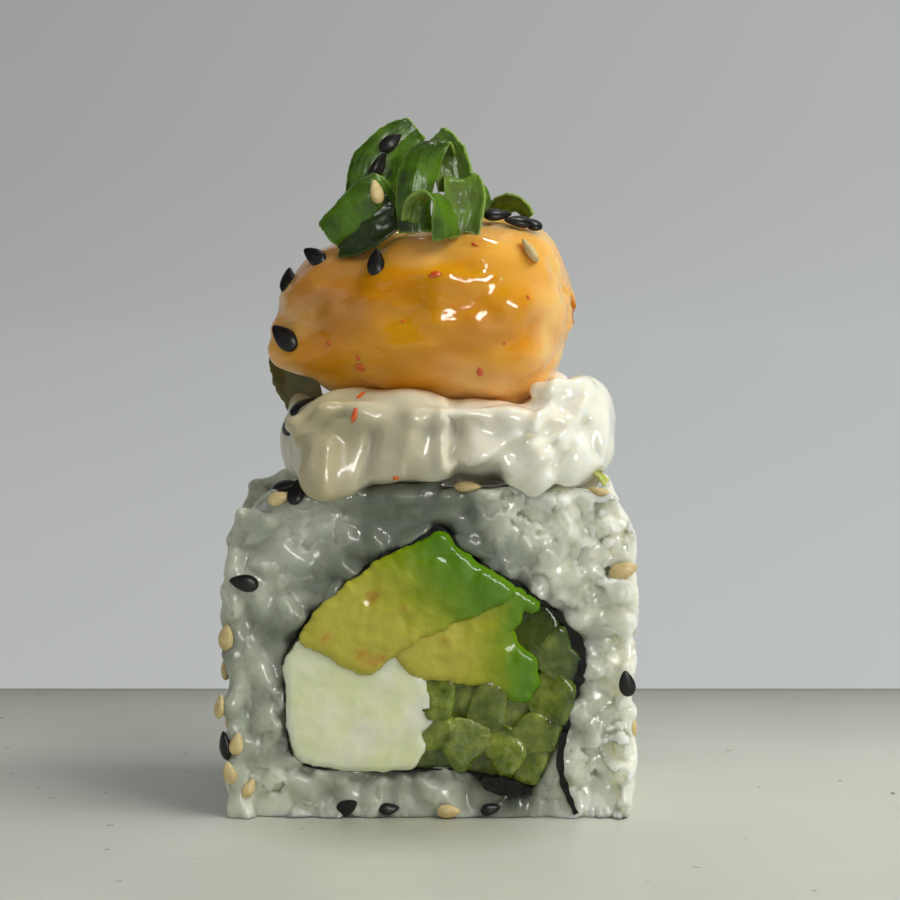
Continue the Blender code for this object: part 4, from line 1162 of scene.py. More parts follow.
def batter_height(direction):
    """How far lumps of batter stand out under the sauce, in millimetres."""
    lumps = 0.80 * noise.noise(direction * 2.8 + Vector((3, 1, 7)))
    lumps += 0.26 * noise.noise(direction * 6.0 + Vector((9, 2, 4)))
    lumps += 0.03 * noise.noise(direction * 18.0)
    crumb = abs(noise.noise(direction * 9.0)) + 0.5 * abs(noise.noise(direction * 20.0))
    return lumps + bareness(direction) * (0.8 * crumb - 0.7)


bm = bmesh.new()
bmesh.ops.create_icosphere(bm, subdivisions=SPHERE_SUBDIVISIONS, radius=1.0)
directions = [v.co.normalized() for v in bm.verts]
prawn_faces = [tuple(v.index for v in f.verts) for f in bm.faces]
bm.free()
prawn_points = np.array([prawn_point(d, batter_height(d)) for d in directions])
print("prawn", len(prawn_points), "points")

# %% [markdown]
# The sauce is a deep orange-yellow where it is thin over the batter, and a paler peach where it
# lies thick. Two numbers on the points, worked out in the next cell, choose between the tones. A
# clear coat gives the wet shine. The bare crag is brown like fried crumb.

# %% The orange sauce's finish
sauce_finish, tree, shader = new_finish("orange_sauce", 0.38, coat=0.9, coat_roughness=0.05,
                                        sheen_of_body=0.15)
let_light_in(shader, 0.7, 1.8, (1.0, 0.45, 0.15))
thin_sauce = steps(tree, patches(tree, 10.0, 1.0),
                   (0.35, screen(222, 142, 16)), (0.62, screen(234, 166, 0)))
tone = blend(tree, measured(tree, "glaze"), thin_sauce, screen(250, 196, 112))
# Painted shade and painted light on the sauce, with random tone.
tone = blend(tree, measured(tree, "shade_and_tone"), tone, (0.68, 0.58, 0.54, 1.0), "MULTIPLY")
crumb = steps(tree, measured(tree, "bare"), (0.35, (0, 0, 0)), (0.75, (1, 1, 1)))
paint(tree, blend(tree, crumb, tone, screen(186, 116, 30)), shader)
relief(tree, shader, patches(tree, 2.2, 2.0), 0.10)
print("the sauce's finish has", len(tree.nodes), "nodes")

# %% [markdown]
# The sauce is thickest at the back and in patches, which is the number "glaze". Its colour is
# painted darker at the upper left of the front, where it faces away from the lights, as painted
# shade, and lighter at the upper right, as painted light. With a tone that changes at random, that
# is the second number.

# %% The prawn in its sauce
SHADED_PLACE, LIT_PLACE = aimed(-42.0, 34.0), aimed(36.0, 32.0)


def limited(value, most=1.0):
    return min(most, max(0.0, value))


def glaze(d):
    """How thick the sauce lies in this direction, from 0 to 1."""
    patchy = 0.9 * noise.noise(d * 2.4 + Vector((5, 5, 5))) + 0.25 * noise.noise(d * 6.3)
    return limited((0.88 + d.y) / 0.5 + patchy)


def tone_and_painted_shade(d):
    """Painted shade and random tone in this direction, from 0 to 0.9: darker at the upper
    left, and lighter at the upper right.
    """
    placed = 0.95 * math.exp((d.dot(SHADED_PLACE) - 1) / 0.12)
    placed -= 0.4 * math.exp((d.dot(LIT_PLACE) - 1) / 0.2)
    return limited(placed + 0.2 + 0.7 * noise.noise(d * 2.2 + Vector((7, 2, 8))), 0.9)


prawn = add_piece("prawn_in_sauce", prawn_points, prawn_faces, sauce_finish, "fried_prawn", "prawn")
store(prawn, "bare", [bareness(d) for d in directions])
store(prawn, "glaze", [glaze(d) for d in directions])
store(prawn, "shade_and_tone", [tone_and_painted_shade(d) for d in directions])
report_piece(prawn)

# %% [markdown]
# The white sauce is thick and flows in lobes. Metaballs are made for that: blobs that run into one
# another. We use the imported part's own blobs, on a far finer grid, and add small ones at the front
# for the fold at the left tip, the peaks at the right, ridges and drips.

# %% The cream's blobs
# Each: middle and half size, in millimetres
CREAM_BLOBS = [
    ((0.6, -5.5, 37.0), (14.2, 9.8, 5.4)), ((-9.6, -13.0, 38.0), (4.6, 4.2, 5.0)),
    ((-9.6, -17.0, 34.9), (3.4, 1.5, 2.4)), ((-3.0, -13.8, 39.2), (5.6, 4.0, 4.4)),
    ((0.4, -17.2, 36.4), (2.0, 1.2, 2.0)), ((6.6, -14.0, 38.0), (6.0, 4.0, 3.8)),
    ((10.6, -17.2, 35.4), (1.8, 1.4, 2.6)), ((14.0, -16.4, 36.2), (1.7, 1.4, 2.4)),
    ((14.0, -10.6, 39.4), (3.8, 5.2, 4.4)), ((16.0, -9.4, 42.0), (1.7, 2.2, 2.0)),
    ((12.0, -2.6, 42.2), (2.8, 2.8, 2.4)), ((-14.6, 1.0, 37.4), (2.0, 3.0, 3.2)),
    ((-12.9, -5.4, 37.4), (3.6, 5.6, 3.4)), ((11.6, 1.4, 37.8), (4.6, 3.4, 4.0)),
    ((-0.6, 2.4, 37.6), (7.0, 3.0, 4.0)),
]
packed_blobs = len(CREAM_BLOBS)
CREAM_BLOBS += [
    ((-13.6, -14.6, 40.0), (2.0, 1.4, 0.9)), ((-12.2, -16.0, 39.0), (2.2, 1.6, 1.4)),
    ((-8.0, -17.0, 41.2), (3.2, 1.2, 1.4)), ((-11.2, -17.4, 34.6), (1.6, 1.0, 1.9)),
    ((-4.6, -17.0, 36.0), (1.6, 0.9, 1.7)), ((5.0, -17.0, 38.4), (1.4, 1.0, 3.0)),
    ((8.4, -17.2, 36.0), (1.3, 1.1, 2.0)), ((9.6, -16.4, 40.8), (3.6, 1.2, 1.0)),
    ((12.0, -15.6, 38.4), (1.0, 1.2, 3.6)), ((16.6, -11.6, 38.2), (2.3, 3.2, 3.2)),
    ((15.4, -12.4, 43.4), (1.2, 1.0, 1.0)), ((12.6, -13.0, 43.4), (2.4, 1.2, 1.0)),
    ((17.2, -9.0, 40.6), (1.3, 2.6, 2.2)), ((15.8, -15.0, 34.6), (1.4, 1.2, 1.7)),
    ((1.6, -17.6, 41.0), (3.0, 0.9, 0.9)), ((-13.8, -1.6, 40.4), (1.9, 2.2, 1.8)),
]
print(packed_blobs, "large blobs, and", len(CREAM_BLOBS) - packed_blobs, "small ones")

# %% [markdown]
# The cream is nearly white. Towards the left it is painted beige and darker, as painted shade, and
# shines less, and where it touches the prawn the orange sauce has stained it. Both are numbers
# stored on the points.

# %% The cream's finish
cream_finish, tree, shader = new_finish("cream_sauce", 0.30, coat=0.9, coat_roughness=0.05,
                                        sheen_of_body=0.3)
let_light_in(shader, 0.7, 1.3, (1.0, 0.85, 0.6))
tone = steps(tree, patches(tree, 6.0, 2.0),
             (0.3, screen(244, 241, 222)), (0.7, screen(250, 248, 234)))
# Painted shade: the number called thin darkens the cream towards the left.
tone = blend(tree, measured(tree, "thin"), tone, screen(188, 178, 140))
paint(tree, blend(tree, measured(tree, "stained"), tone, screen(238, 170, 70)), shader)
relief(tree, shader, patches(tree, 2.2, 2.0), 0.08)
coat_weight = steps(tree, measured(tree, "thin"),
                    (0.2, (0.9, 0.9, 0.9)), (0.8, (0.45, 0.45, 0.45)))
paint(tree, coat_weight, shader, "Coat Weight")
print("the cream's finish has", len(tree.nodes), "nodes")

# %% [markdown]
# A metaball's size is how far its field reaches. Its surface is nearer, where the field falls to
# the threshold. Metaballs have no grid finer than 5 mm, so we make them a hundred times as large,
# turn them into a mesh, and shrink that.

# %% Melt the blobs together
CREAM_STEP = 0.5
LARGER = 100.0
THRESHOLD = 0.3
SURFACE_SHARE = 0.575  # of the reach, for one blob alone at this threshold

ball = bpy.data.metaballs.new("cream_flow")
ball.resolution = CREAM_STEP * MM * LARGER
ball.threshold = THRESHOLD
for middle, half_size in CREAM_BLOBS:
    element = ball.elements.new(type="ELLIPSOID")
    element.co = Vector(middle) * MM * LARGER
    element.radius = 1.0
    element.stiffness = 1.0
    reach = [h * MM * LARGER / SURFACE_SHARE for h in half_size]
    element.size_x, element.size_y, element.size_z = reach
flow = bpy.data.objects.new("cream_flow", ball)
bpy.context.scene.collection.objects.link(flow)
bpy.context.view_layer.update()
mesh = bpy.data.meshes.new_from_object(flow.evaluated_get(bpy.context.evaluated_depsgraph_get()))
bpy.data.objects.remove(flow)
cream_points = np.array([v.co for v in mesh.vertices]) / LARGER / MM
cream_faces = [tuple(p.vertices) for p in mesh.polygons]
bpy.data.meshes.remove(mesh)
cream = add_piece("cream_sauce", cream_points, cream_faces, cream_finish, "cream_sauce", "cream")
melt(cream, 0.4, 3)
report_piece(cream)

# %% [markdown]
# Folds and ridges come next, some from noise and some drawn as strokes on the front. The lower
# edge hangs in points, and whatever is below it is tucked back. Last the prawn presses its form
# into the top.

# %% Fold the cream, and press the prawn into it
# Strokes: from X and height to X and height, width, and the height of the ridge (or groove)
CREAM_STROKES = [
    (2.8, 43.5, 2.6, 37.0, 1.0, -1.1), (1.4, 43.0, 1.5, 36.0, 0.9, 0.6),
    (4.2, 41.0, 9.0, 37.5, 2.0, -0.7), (4.3, 36.7, 10.4, 40.0, 0.8, 0.8),
    (10.4, 40.0, 13.0, 44.4, 0.8, 0.8), (8.0, 34.6, 13.0, 38.4, 0.8, 0.7),
    (13.0, 38.4, 15.8, 42.4, 0.8, 0.7), (12.4, 35.8, 15.6, 40.2, 0.7, -0.7),
    (16.6, 36.0, 18.0, 41.0, 0.8, 0.5), (-14.8, 39.8, -9.5, 43.2, 0.8, 0.8),
    (-13.4, 38.0, -8.6, 41.2, 1.0, -0.7), (-6.4, 33.5, -5.6, 39.0, 0.9, -0.7),
    (-10.4, 33.6, -10.0, 38.0, 1.1, 0.4), (-2.6, 35.4, -1.4, 40.6, 1.3, 0.5),
    (6.2, 43.4, 9.4, 42.6, 0.8, 0.5),
]
# The lower edge at the front: X and height of its points
CREAM_HEM = [(-16.0, 38.0), (-13.5, 34.4), (-12.0, 33.0), (-9.9, 32.6), (-7.5, 33.4), (-5.6, 34.9),
             (-2.6, 34.6), (0.4, 34.4), (1.7, 34.8), (2.8, 36.6), (7.0, 36.6), (8.2, 34.3),
             (10.4, 32.8), (12.0, 34.0), (13.5, 32.3), (15.2, 34.4), (17.0, 36.0)]
CREAM_FLOOR = 32.0
PRAWN_GAP = 0.05

prawn_tree = BVHTree.FromPolygons([Vector(p) for p in prawn_points], prawn_faces)
cream_points = points_of(cream)
folds = 0.45 * ripple(cream_points, 5.0) + 0.07 * ripple(cream_points, 1.6, 3.0)
folds += 0.3 - 0.8 * np.abs(ripple(cream_points * (1.0, 1.0, 0.6), 5.5, 6.0))
frontal = np.clip(-normals_of(cream)[:, 1], 0, 1)
for x1, z1, x2, z2, width, height in CREAM_STROKES:
    _, far = nearest_on(np.array([(x1, z1), (x2, z2)]), cream_points[:, [0, 2]])
    folds += frontal * 1.3 * height * np.exp(-(far / (0.8 * width)) ** 2)
cream_points += normals_of(cream) * folds[:, None]
lowest = np.interp(cream_points[:, 0], *zip(*CREAM_HEM))
tucked = np.clip(-14.5 - cream_points[:, 1], 0, 1) * np.clip(lowest - cream_points[:, 2], 0, 2.5)
cream_points[:, 1] += 1.6 * tucked
beyond = np.minimum(cream_points[:, 0] + 13.0, 0.0)
cream_points[:, 0] -= 0.4 * beyond
stains = []
for i, point in enumerate(cream_points):
    spot, normal, _, gap = prawn_tree.find_nearest(Vector(point))
    stains.append(0.85 * math.exp(-gap / 0.7))
    if (Vector(point) - spot).dot(normal) < PRAWN_GAP:
        cream_points[i] = spot + normal * PRAWN_GAP
cream_points[:, 2] = np.maximum(cream_points[:, 2], CREAM_FLOOR)
put_points(cream, cream_points)
store(cream, "stained", stains)
# Painted shade, darker towards the left, with noise.
thin = 0.55 - cream_points[:, 0] / 20.0 + 0.25 * ripple(cream_points, 5.0, 2.0)
store(cream, "thin", np.clip(thin, 0, 0.95))
print("stained points:", sum(stain > 0.1 for stain in stains))

# %% [markdown]
# Spring onion is cut across into short tubes and strips, which curl. Each piece here is a ribbon
# that follows a curved line and is bowed across its width. First come the lines.

# %% The lines of the spring onion
# Each: spine, direction across it, widths along it, bow in degrees, and twist in degrees
LEAVES = {
    "onion_left": ([(-10.2, -11.4, 58.7), (-8.2, -12.3, 60.6), (-6.0, -12.2, 62.6),
                    (-4.2, -11.2, 64.0)], (-0.62, 0.0, 0.75), (4.0, 5.0, 5.2), 130.0, -10.0),
    # Nearly black: painted shade in the gap under the left leaf.
    "onion_under": ([(-9.2, -11.0, 57.6), (-7.4, -12.0, 58.8), (-5.4, -12.2, 60.2),
                     (-3.4, -11.6, 61.6)], (0.45, -0.2, -0.87), (3.0, 4.4, 4.0), 50.0, 8.0),
    "onion_back": ([(-5.6, -7.4, 59.4), (-5.4, -6.8, 64.0), (-3.8, -5.8, 67.4), (-1.3, -5.2, 69.7)],
                   (-0.78, 0.0, 0.62), (6.4, 6.8, 2.8), 60.0, 12.0),
    "onion_middle": ([(-1.4, -13.5, 59.2), (-1.5, -13.6, 62.0), (-1.1, -13.2, 64.8),
                      (-0.2, -12.0, 67.2), (1.0, -10.6, 68.2), (2.0, -9.0, 66.8)],
                     (-1.0, -0.1, -0.05), (3.5, 4.1, 1.6), 80.0, 8.0),
    "onion_right": ([(0.6, -8.4, 68.9), (1.6, -9.0, 67.6), (2.3, -9.6, 65.9), (2.8, -10.0, 63.4)],
                    (-0.95, 0.1, -0.25), (2.4, 4.0, 4.0), 70.0, -15.0),
    "onion_front": ([(3.0, -9.6, 64.5), (3.3, -11.2, 64.1), (3.6, -12.2, 61.8), (3.2, -12.8, 59.0)],
                    (-1.0, -0.1, -0.12), (3.2, 4.3, 4.0), 60.0, 10.0),
    "onion_arch": ([(-1.9, -15.0, 60.4), (-1.5, -15.2, 62.2), (-0.3, -15.3, 62.9),
                    (0.9, -15.2, 62.4), (1.6, -14.9, 61.0), (1.9, -14.4, 58.6)],
                   (0.62, 0.75, -0.2), (2.0, 2.6, 3.4), 30.0, 35.0),
    "onion_ring": ([(4.6, -8.0, 64.2), (5.5, -7.9, 63.4), (5.8, -7.8, 62.0), (5.6, -7.8, 60.4)],
                   (0.6, 0.8, 0.0), (1.2, 1.8, 1.4), 50.0, 0.0),
    "onion_flake": ([(6.4, -4.0, 60.7), (7.6, -4.6, 61.7), (9.0, -4.8, 61.7), (10.4, -4.6, 60.6)],
                    (-0.1, -0.8, 0.6), (2.4, 3.2, 2.2), 40.0, 10.0),
    "onion_side": ([(-15.6, -0.8, 47.0), (-14.2, -1.6, 44.0), (-12.8, -2.4, 40.2)],
                   (-0.9, 0.3, -0.35), (3.4, 5.6, 4.0), 40.0, 10.0),
    "onion_white": ([(15.9, -14.6, 35.5), (16.9, -14.6, 35.1), (17.9, -14.6, 34.0)],
                    (0.2, 0.95, 0.1), (1.4, 1.8, 1.4), 30.0, 0.0),
}
print(len(LEAVES), "lines")

# %% [markdown]
# The green runs from nearly black to a fresh mid green in patches. Ribs and cut edges are paler.
# One function makes the four shades, from pale to dark. The darkest, nearly black, is painted
# shade for the piece tucked under the left leaf.

# %% The spring onion's finishes
def onion_finish(name, dark, middle, pale):
    made, tree, shader = new_finish(name, 0.4, coat=0.35, coat_roughness=0.2, sheen_of_body=0.2)
    let_light_in(shader, 0.35, 0.7, (0.6, 1.0, 0.15))
    tone = steps(tree, patches(tree, 3.2, 3.0), (0.34, dark), (0.64, middle))
    ribs = steps(tree, measured(tree, "rib"), (0.35, (0, 0, 0)), (1.0, (0.12, 0.12, 0.12)))
    tone = blend(tree, ribs, tone, pale)
    cut = steps(tree, measured(tree, "cut_edge"), (0.3, (0, 0, 0)), (1.0, (0.7, 0.7, 0.7)))
    paint(tree, blend(tree, cut, tone, pale), shader)
    relief(tree, shader, patches(tree, 0.45, 4.0), 0.06)
    return made


green_onion = onion_finish("onion_green", screen(18, 42, 0), screen(84, 124, 14), screen(150, 176, 80))
olive_onion = onion_finish("onion_olive", screen(52, 46, 4), screen(82, 76, 20), screen(150, 146, 92))
pale_onion = onion_finish("onion_pale",
                          screen(160, 170, 60), screen(196, 200, 110), screen(226, 226, 170))
shade_onion = onion_finish("onion_painted_shade", screen(8, 18, 0), screen(26, 44, 6), screen(70, 92, 34))
# The piece under the left leaf is painted nearly black, as shade.
LEAF_FINISH = {"onion_under": shade_onion, "onion_side": olive_onion, "onion_white": pale_onion}
print("shades:", green_onion.name, olive_onion.name, pale_onion.name, shade_onion.name)

# %% [markdown]
# A leaf must not sink into the prawn. The prawn's formula says how far its surface is in any
# direction, so a point that lies nearer to the middle is moved out by what is lacking.

# %% Lift a leaf off the prawn
TILT_BACK = Matrix.Rotation(PRAWN_TILT, 3, "Y")
LEAF_GAP = 0.25


def lift_off_prawn(pair):
    """How far a pair of points must move outwards to lie clear of the prawn."""
    shift = Vector((0.0, 0.0, 0.0))
    for point in pair:
        from_middle = point - PRAWN_MIDDLE
        local = TILT_BACK @ from_middle
        direction = Vector([c / h for c, h in zip(local, PRAWN_HALF)]).normalized()
        surface = (prawn_point(direction, LEAF_GAP) - PRAWN_MIDDLE).length
        lacking = surface - from_middle.length
        if lacking > shift.length:
            shift = from_middle.normalized() * lacking
    return shift


print("lift for a point in the middle:", lift_off_prawn([PRAWN_MIDDLE + Vector((1, 0, 0))]).x)

# %% [markdown]
# A leaf is a grid of points on two sides. Across its width the points follow an arc. Fine ribs run
# along it, noise crinkles it, and its ends and edges are uneven.

# %% Spring onion
LEAF_THICK = 0.34
LEAF_LONG = 60
LEAF_WIDE = 36
RIB_SPACING = 0.28
EDGE_BAND = 0.22  # how far the pale cut edge reaches in


def leaf_faces():
    """Faces of both sides of a leaf, and of the rim between them."""
    row = LEAF_WIDE + 1
    under = row * (LEAF_LONG + 1)
    faces = []
    for step in range(LEAF_LONG):
        for i in range(LEAF_WIDE):
            a = step * row + i
            faces += [(a, a + 1, a + row + 1, a + row),
                      (under + a, under + a + row, under + a + row + 1, under + a + 1)]
    rim = [step * row for step in range(LEAF_LONG + 1)]
    rim += [LEAF_LONG * row + i for i in range(1, row)]
    rim += [step * row + row - 1 for step in range(LEAF_LONG - 1, -1, -1)]
    rim += list(range(row - 2, 0, -1))
    return faces + [(a, b, under + b, under + a) for a, b in zip(rim, rim[1:] + rim[:1])]


def make_leaf(name, spine, across, widths, bow, twist):
    """A ribbon along a spine. Its bow and twist are in degrees."""
    line = smooth_line(spine, 30)
    picks = [Vector(line[round(i * (len(line) - 1) / LEAF_LONG)]) for i in range(LEAF_LONG + 1)]
    curve = math.radians(bow)
    seed = sum(ord(letter) for letter in name) * 0.37
    upper_side, lower_side, ribs, cut_edges = [], [], [], []
    for step, point in enumerate(picks):
        share = step / LEAF_LONG
        along = (picks[min(step + 3, LEAF_LONG)] - picks[max(step - 3, 0)]).normalized()
        side = Vector(across)
        side = (side - along * side.dot(along)).normalized()
        side = Matrix.Rotation(math.radians(twist) * (share - 0.5), 3, along) @ side
        up = along.cross(side)
        width = np.interp(share, (0.0, 0.5, 1.0), widths)
        for i in range(LEAF_WIDE + 1):
            place = i / LEAF_WIDE - 0.5
            jag = 1 + 0.09 * noise.noise(Vector((share * 7, math.copysign(3, place), seed)))
            jag += 0.04 * noise.noise(Vector((share * 24, math.copysign(3, place), seed)))
            angle = curve * place * jag
            radius = width / curve
            crinkle = 0.30 * noise.noise(Vector((share * 2.6, place * 2.6, seed)))
            crinkle += 0.10 * noise.noise(Vector((share * 8, place * 7, seed)))
            end = 1 if step == LEAF_LONG else -1 if step == 0 else 0
            ragged = 0.25 * noise.noise(Vector((place * 4, seed, end)))
            ragged += 0.10 * noise.noise(Vector((place * 17, seed, end)))
            rib = 0.5 + 0.5 * math.cos(2 * math.pi * place * width / RIB_SPACING
                                       + noise.noise(Vector((place * 9, seed, 0))))
            outward = side * math.sin(angle) + up * math.cos(angle)
            centre = point + side * math.sin(angle) * radius - up * (1 - math.cos(angle)) * radius
            centre = centre + outward * crinkle + along * ragged * abs(end)
            thick = LEAF_THICK / 2 * min(1.0, 0.55 + (0.5 - abs(place)) * 12)
            pair = [centre + outward * (thick + 0.045 * rib), centre - outward * thick]
            shift = lift_off_prawn(pair)
            upper_side.append(pair[0] + shift)
            lower_side.append(pair[1] + shift)
            ribs.append(rib)
            edge_gap = min((0.5 - abs(place)) * width, min(share, 1 - share) * 5.0)
            cut_edges.append(max(0.0, 1.0 - edge_gap / EDGE_BAND))
    stands_for = [name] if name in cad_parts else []
    made = add_piece(name + "_leaf", upper_side + lower_side, leaf_faces(),
                     LEAF_FINISH.get(name, green_onion), "spring_onion", *stands_for)
    turn_outwards(made)
    store(made, "rib", ribs + [0.3 * r for r in ribs])
    store(made, "cut_edge", cut_edges + [max(c, 0.6) for c in cut_edges])
    return made


onion_leaves = [make_leaf(name, *shape) for name, shape in LEAVES.items()]
print(len(onion_leaves), "pieces of spring onion")

# %% [markdown]
# Sesame seeds are flat drops, pointed at one end. A seed is made of rings of points along its
# length, close together at the two ends, where it curves most.

# %% One sesame seed
SEED_LENGTH = 3.0
SEED_WIDTH = 2.1
SEED_THICK = 1.2
SEED_SIDES = 16
SEED_RINGS = 14


def seed_points(scale):
    """A sesame seed along X, with its point at the high end."""
    points = []
    for ring in range(SEED_RINGS + 1):
        t = ring / SEED_RINGS
        along = 0.5 - 0.5 * math.cos(math.pi * t)
        around = math.sin(math.pi * along) ** 0.5 * (1.10 - 0.55 * along)
        for side in range(SEED_SIDES):
            angle = 2 * math.pi * side / SEED_SIDES
            flat = math.copysign(abs(math.sin(angle)) ** 0.8, math.sin(angle))
            points.append(((along - 0.5) * SEED_LENGTH, around * math.cos(angle) * SEED_WIDTH / 2,
                           around * flat * SEED_THICK / 2))
    return np.array(points) * scale


SEED_FACES = tube_faces(SEED_RINGS, SEED_SIDES)
print("a seed has", len(SEED_FACES), "faces")

# %% [markdown]
# Each seed is dropped along a line until it meets the surface below, and turned to lie on it. A
# BVH tree is Blender's quick way to find where a line meets a mesh.

# %% Drop a seed on a surface
DROP_FROM, DROP_REACH = 8.0, 24.0
SUNK_SHARE = 0.22  # a seed's middle lies this share of its thickness above the surface


def tree_of(*made):
    points, faces = [], []
    for one in made:
        start = len(points)
        points += [Vector(p) for p in points_of(one)]
        faces += [tuple(start + i for i in f.vertices) for f in one.data.polygons]
    return BVHTree.FromPolygons(points, faces)


def dropped(surface, start, outward, spin_degrees, scale=1.0, roll_degrees=0.0, lift=0.0):
    """A seed that comes down along a line and lies on what it meets."""
    out = Vector(outward).normalized()
    hit, normal, _, _ = surface.ray_cast(Vector(start) + out * DROP_FROM, -out, DROP_REACH)
    if hit is None:
        return None
    lean = (normal + out).normalized()
    place = hit + lean * (SEED_THICK * SUNK_SHARE * scale + lift)
    rolled = seed_points(scale) @ np.array(Matrix.Rotation(math.radians(roll_degrees), 3, "X")).T
    return laid(rolled, place, lean, math.radians(spin_degrees))


rice_surface = tree_of(rice)
prawn_surface = tree_of(prawn)
leaf_surface = tree_of(*onion_leaves)
cream_surface = tree_of(cream)
one_hit = dropped(prawn_surface, (0, 0, 60), (0, 0, 1), 0.0)
print("a seed dropped on the prawn lies at", one_hit.mean(axis=0).round(1))

# %% [markdown]
# The seeds at the front are placed one by one, where the picture shows them. Black ones and
# toasted pale ones lie on the rice, the prawn, the leaves and the cream.

# %% The seeds at the front
# Each: surface, start, outward direction, spin in degrees, and scale, then roll in degrees and lift
FRONT = (0, -1, 0)
BLACK_SEEDS = [
    (prawn_surface, (-5.3, -16.2, 56.1), FRONT, 92.0, 1.0),
    (prawn_surface, (-14.7, -16.2, 48.4), FRONT, 140.0, 1.2),
    (prawn_surface, (-14.4, -16.2, 54.0), FRONT, 100.0, 1.0),
    (prawn_surface, (-11.6, -16.2, 56.6), FRONT, 150.0, 1.0),
    (prawn_surface, (6.9, -10.0, 60.4), (0, -0.6, 0.8), 5.0, 1.0, 0.0, 0.7),
    (prawn_surface, (8.9, -10.6, 59.9), (0, -0.6, 0.8), 165.0, 1.0, 0.0, 0.5),
    (prawn_surface, (10.4, -9.8, 59.8), (0, -0.6, 0.8), 110.0, 0.9, 0.0, 0.6),
    (prawn_surface, (-8.0, 0.6, 60.4), (0, 0, 1), 40.0, 1.0),
    (prawn_surface, (3.0, 1.4, 60.4), (0, 0, 1), 120.0, 1.0),
    (leaf_surface, (-4.0, -16.0, 68.2), FRONT, 40.0, 0.9),
    (leaf_surface, (-5.3, -16.0, 65.7), FRONT, 64.0, 1.15, 60.0),
    (cream_surface, (-13.7, -11.0, 41.4), (-0.6, -0.8, 0.2), 60.0, 1.0),
    (cream_surface, (-14.2, -12.0, 39.3), (-0.6, -0.8, 0.1), 10.0, 0.9),
    (rice_surface, (-14.4, -15.6, 33.6), (-0.3, -0.6, 0.75), 30.0, 1.0),
    (rice_surface, (-13.2, -16.2, 32.9), (-0.2, -0.8, 0.6), 100.0, 1.0),
    (rice_surface, (-20.6, -16.4, 7.4), (-0.7, -0.7, 0.0), 85.0, 1.05),
    (rice_surface, (-18.6, FRONT_CUT, 24.2), FRONT, 170.0, 1.0),
    (rice_surface, (19.9, FRONT_CUT, 14.1), FRONT, 100.0, 0.95),
    (rice_surface, (-8.3, FRONT_CUT, 0.9), FRONT, 30.0, 0.9),
    (rice_surface, (-4.1, FRONT_CUT, 0.9), FRONT, 5.0, 0.7),
    (rice_surface, (6.2, FRONT_CUT, 0.9), FRONT, 15.0, 0.7),
]
PALE_SEEDS = [
    (prawn_surface, (10.0, -16.2, 57.3), FRONT, 120.0, 0.95, 75.0, 0.15),
    (leaf_surface, (-5.3, -16.0, 63.2), FRONT, 100.0, 0.85, 30.0),
    (rice_surface, (19.6, FRONT_CUT, 25.3), FRONT, 20.0, 1.0),
    (rice_surface, (-15.0, -16.4, 32.6), (-0.3, -0.8, 0.5), 20.0, 0.8),
    (rice_surface, (-20.4, -16.6, 18.6), (-0.5, -0.8, 0.0), 80.0, 0.95),
    (rice_surface, (-20.6, -16.4, 11.5), (-0.6, -0.7, 0.0), 85.0, 0.85),
    (rice_surface, (-19.5, FRONT_CUT, 7.7), (-0.3, -0.9, 0.0), 80.0, 0.8),
    (rice_surface, (-19.8, FRONT_CUT, 5.0), (-0.3, -0.9, 0.0), 100.0, 0.8),
    (rice_surface, (-18.4, FRONT_CUT, 3.0), (-0.1, -0.9, 0.0), 60.0, 0.7),
    (rice_surface, (2.0, FRONT_CUT, 0.7), FRONT, 0.0, 0.8),
]
print(len(BLACK_SEEDS), "black and", len(PALE_SEEDS), "pale seeds at the front")

# %% [markdown]
# On the sides, the top and the rear cut, which the picture does not show, the seeds are strewn as
# loosely as at the front. Along the outline, a share of its length says where a seed lies.

# %% The seeds on the other sides
SIDE_SCALE = 0.95
# On the rolled sides: share of the outline from the bottom right corner, depth, spin, and kind
SIDE_SEEDS = [
    (0.253, -15.6, 35.0, "pale"), (0.240, -13.6, 55.0, "pale"), (0.347, -16.3, 0.0, "pale"),
    (0.62, -7.0, 20.0, "black"), (0.67, -9.5, 130.0, "pale"), (0.59, -3.0, 50.0, "pale"),
    (0.65, -2.0, 10.0, "black"), (0.69, 3.0, 75.0, "pale"), (0.57, 1.5, 100.0, "black"),
    (0.63, -11.5, 150.0, "pale"), (0.17, -9.0, 15.0, "black"), (0.12, -3.0, 120.0, "pale"),
    (0.07, -12.0, 85.0, "pale"), (0.19, 1.5, 30.0, "black"), (0.05, -7.5, 60.0, "black"),
    (0.14, 3.4, 140.0, "pale"), (0.09, -1.0, 10.0, "pale"), (0.15, -14.5, 70.0, "pale"),
    (0.215, -6.0, 45.0, "black"), (0.45, 3.8, 80.0, "pale"), (0.29, 3.2, 25.0, "black"),
]
# On the rear cut: X, height, spin, and kind
REAR_SEEDS = [(-16.0, 8.0, 30.0, "black"), (-17.5, 20.0, 110.0, "pale"), (17.8, 12.0, 80.0, "pale"),
              (16.9, 22.5, 140.0, "black"), (3.0, 1.6, 10.0, "pale"), (-6.0, 31.6, 60.0, "pale")]
outline = rolled_outline(0.0)
for share, depth, spin, kind in SIDE_SEEDS:
    place, outward = along_outline(outline, share)
    entry = (rice_surface, (place[0], depth, place[1]), (outward[0], 0, outward[1]), spin,
             SIDE_SCALE)
    (BLACK_SEEDS if kind == "black" else PALE_SEEDS).append(entry)
for x, height, spin, kind in REAR_SEEDS:
    entry = (rice_surface, (x, REAR_CUT, height), (0, 1, 0), spin, SIDE_SCALE)
    (BLACK_SEEDS if kind == "black" else PALE_SEEDS).append(entry)
print(len(BLACK_SEEDS), "black and", len(PALE_SEEDS), "pale seeds in all")

# %% [markdown]
# All seeds of a kind are joined into one piece, which keeps the scene light. A seed that would
# reach into the board is lifted a little.

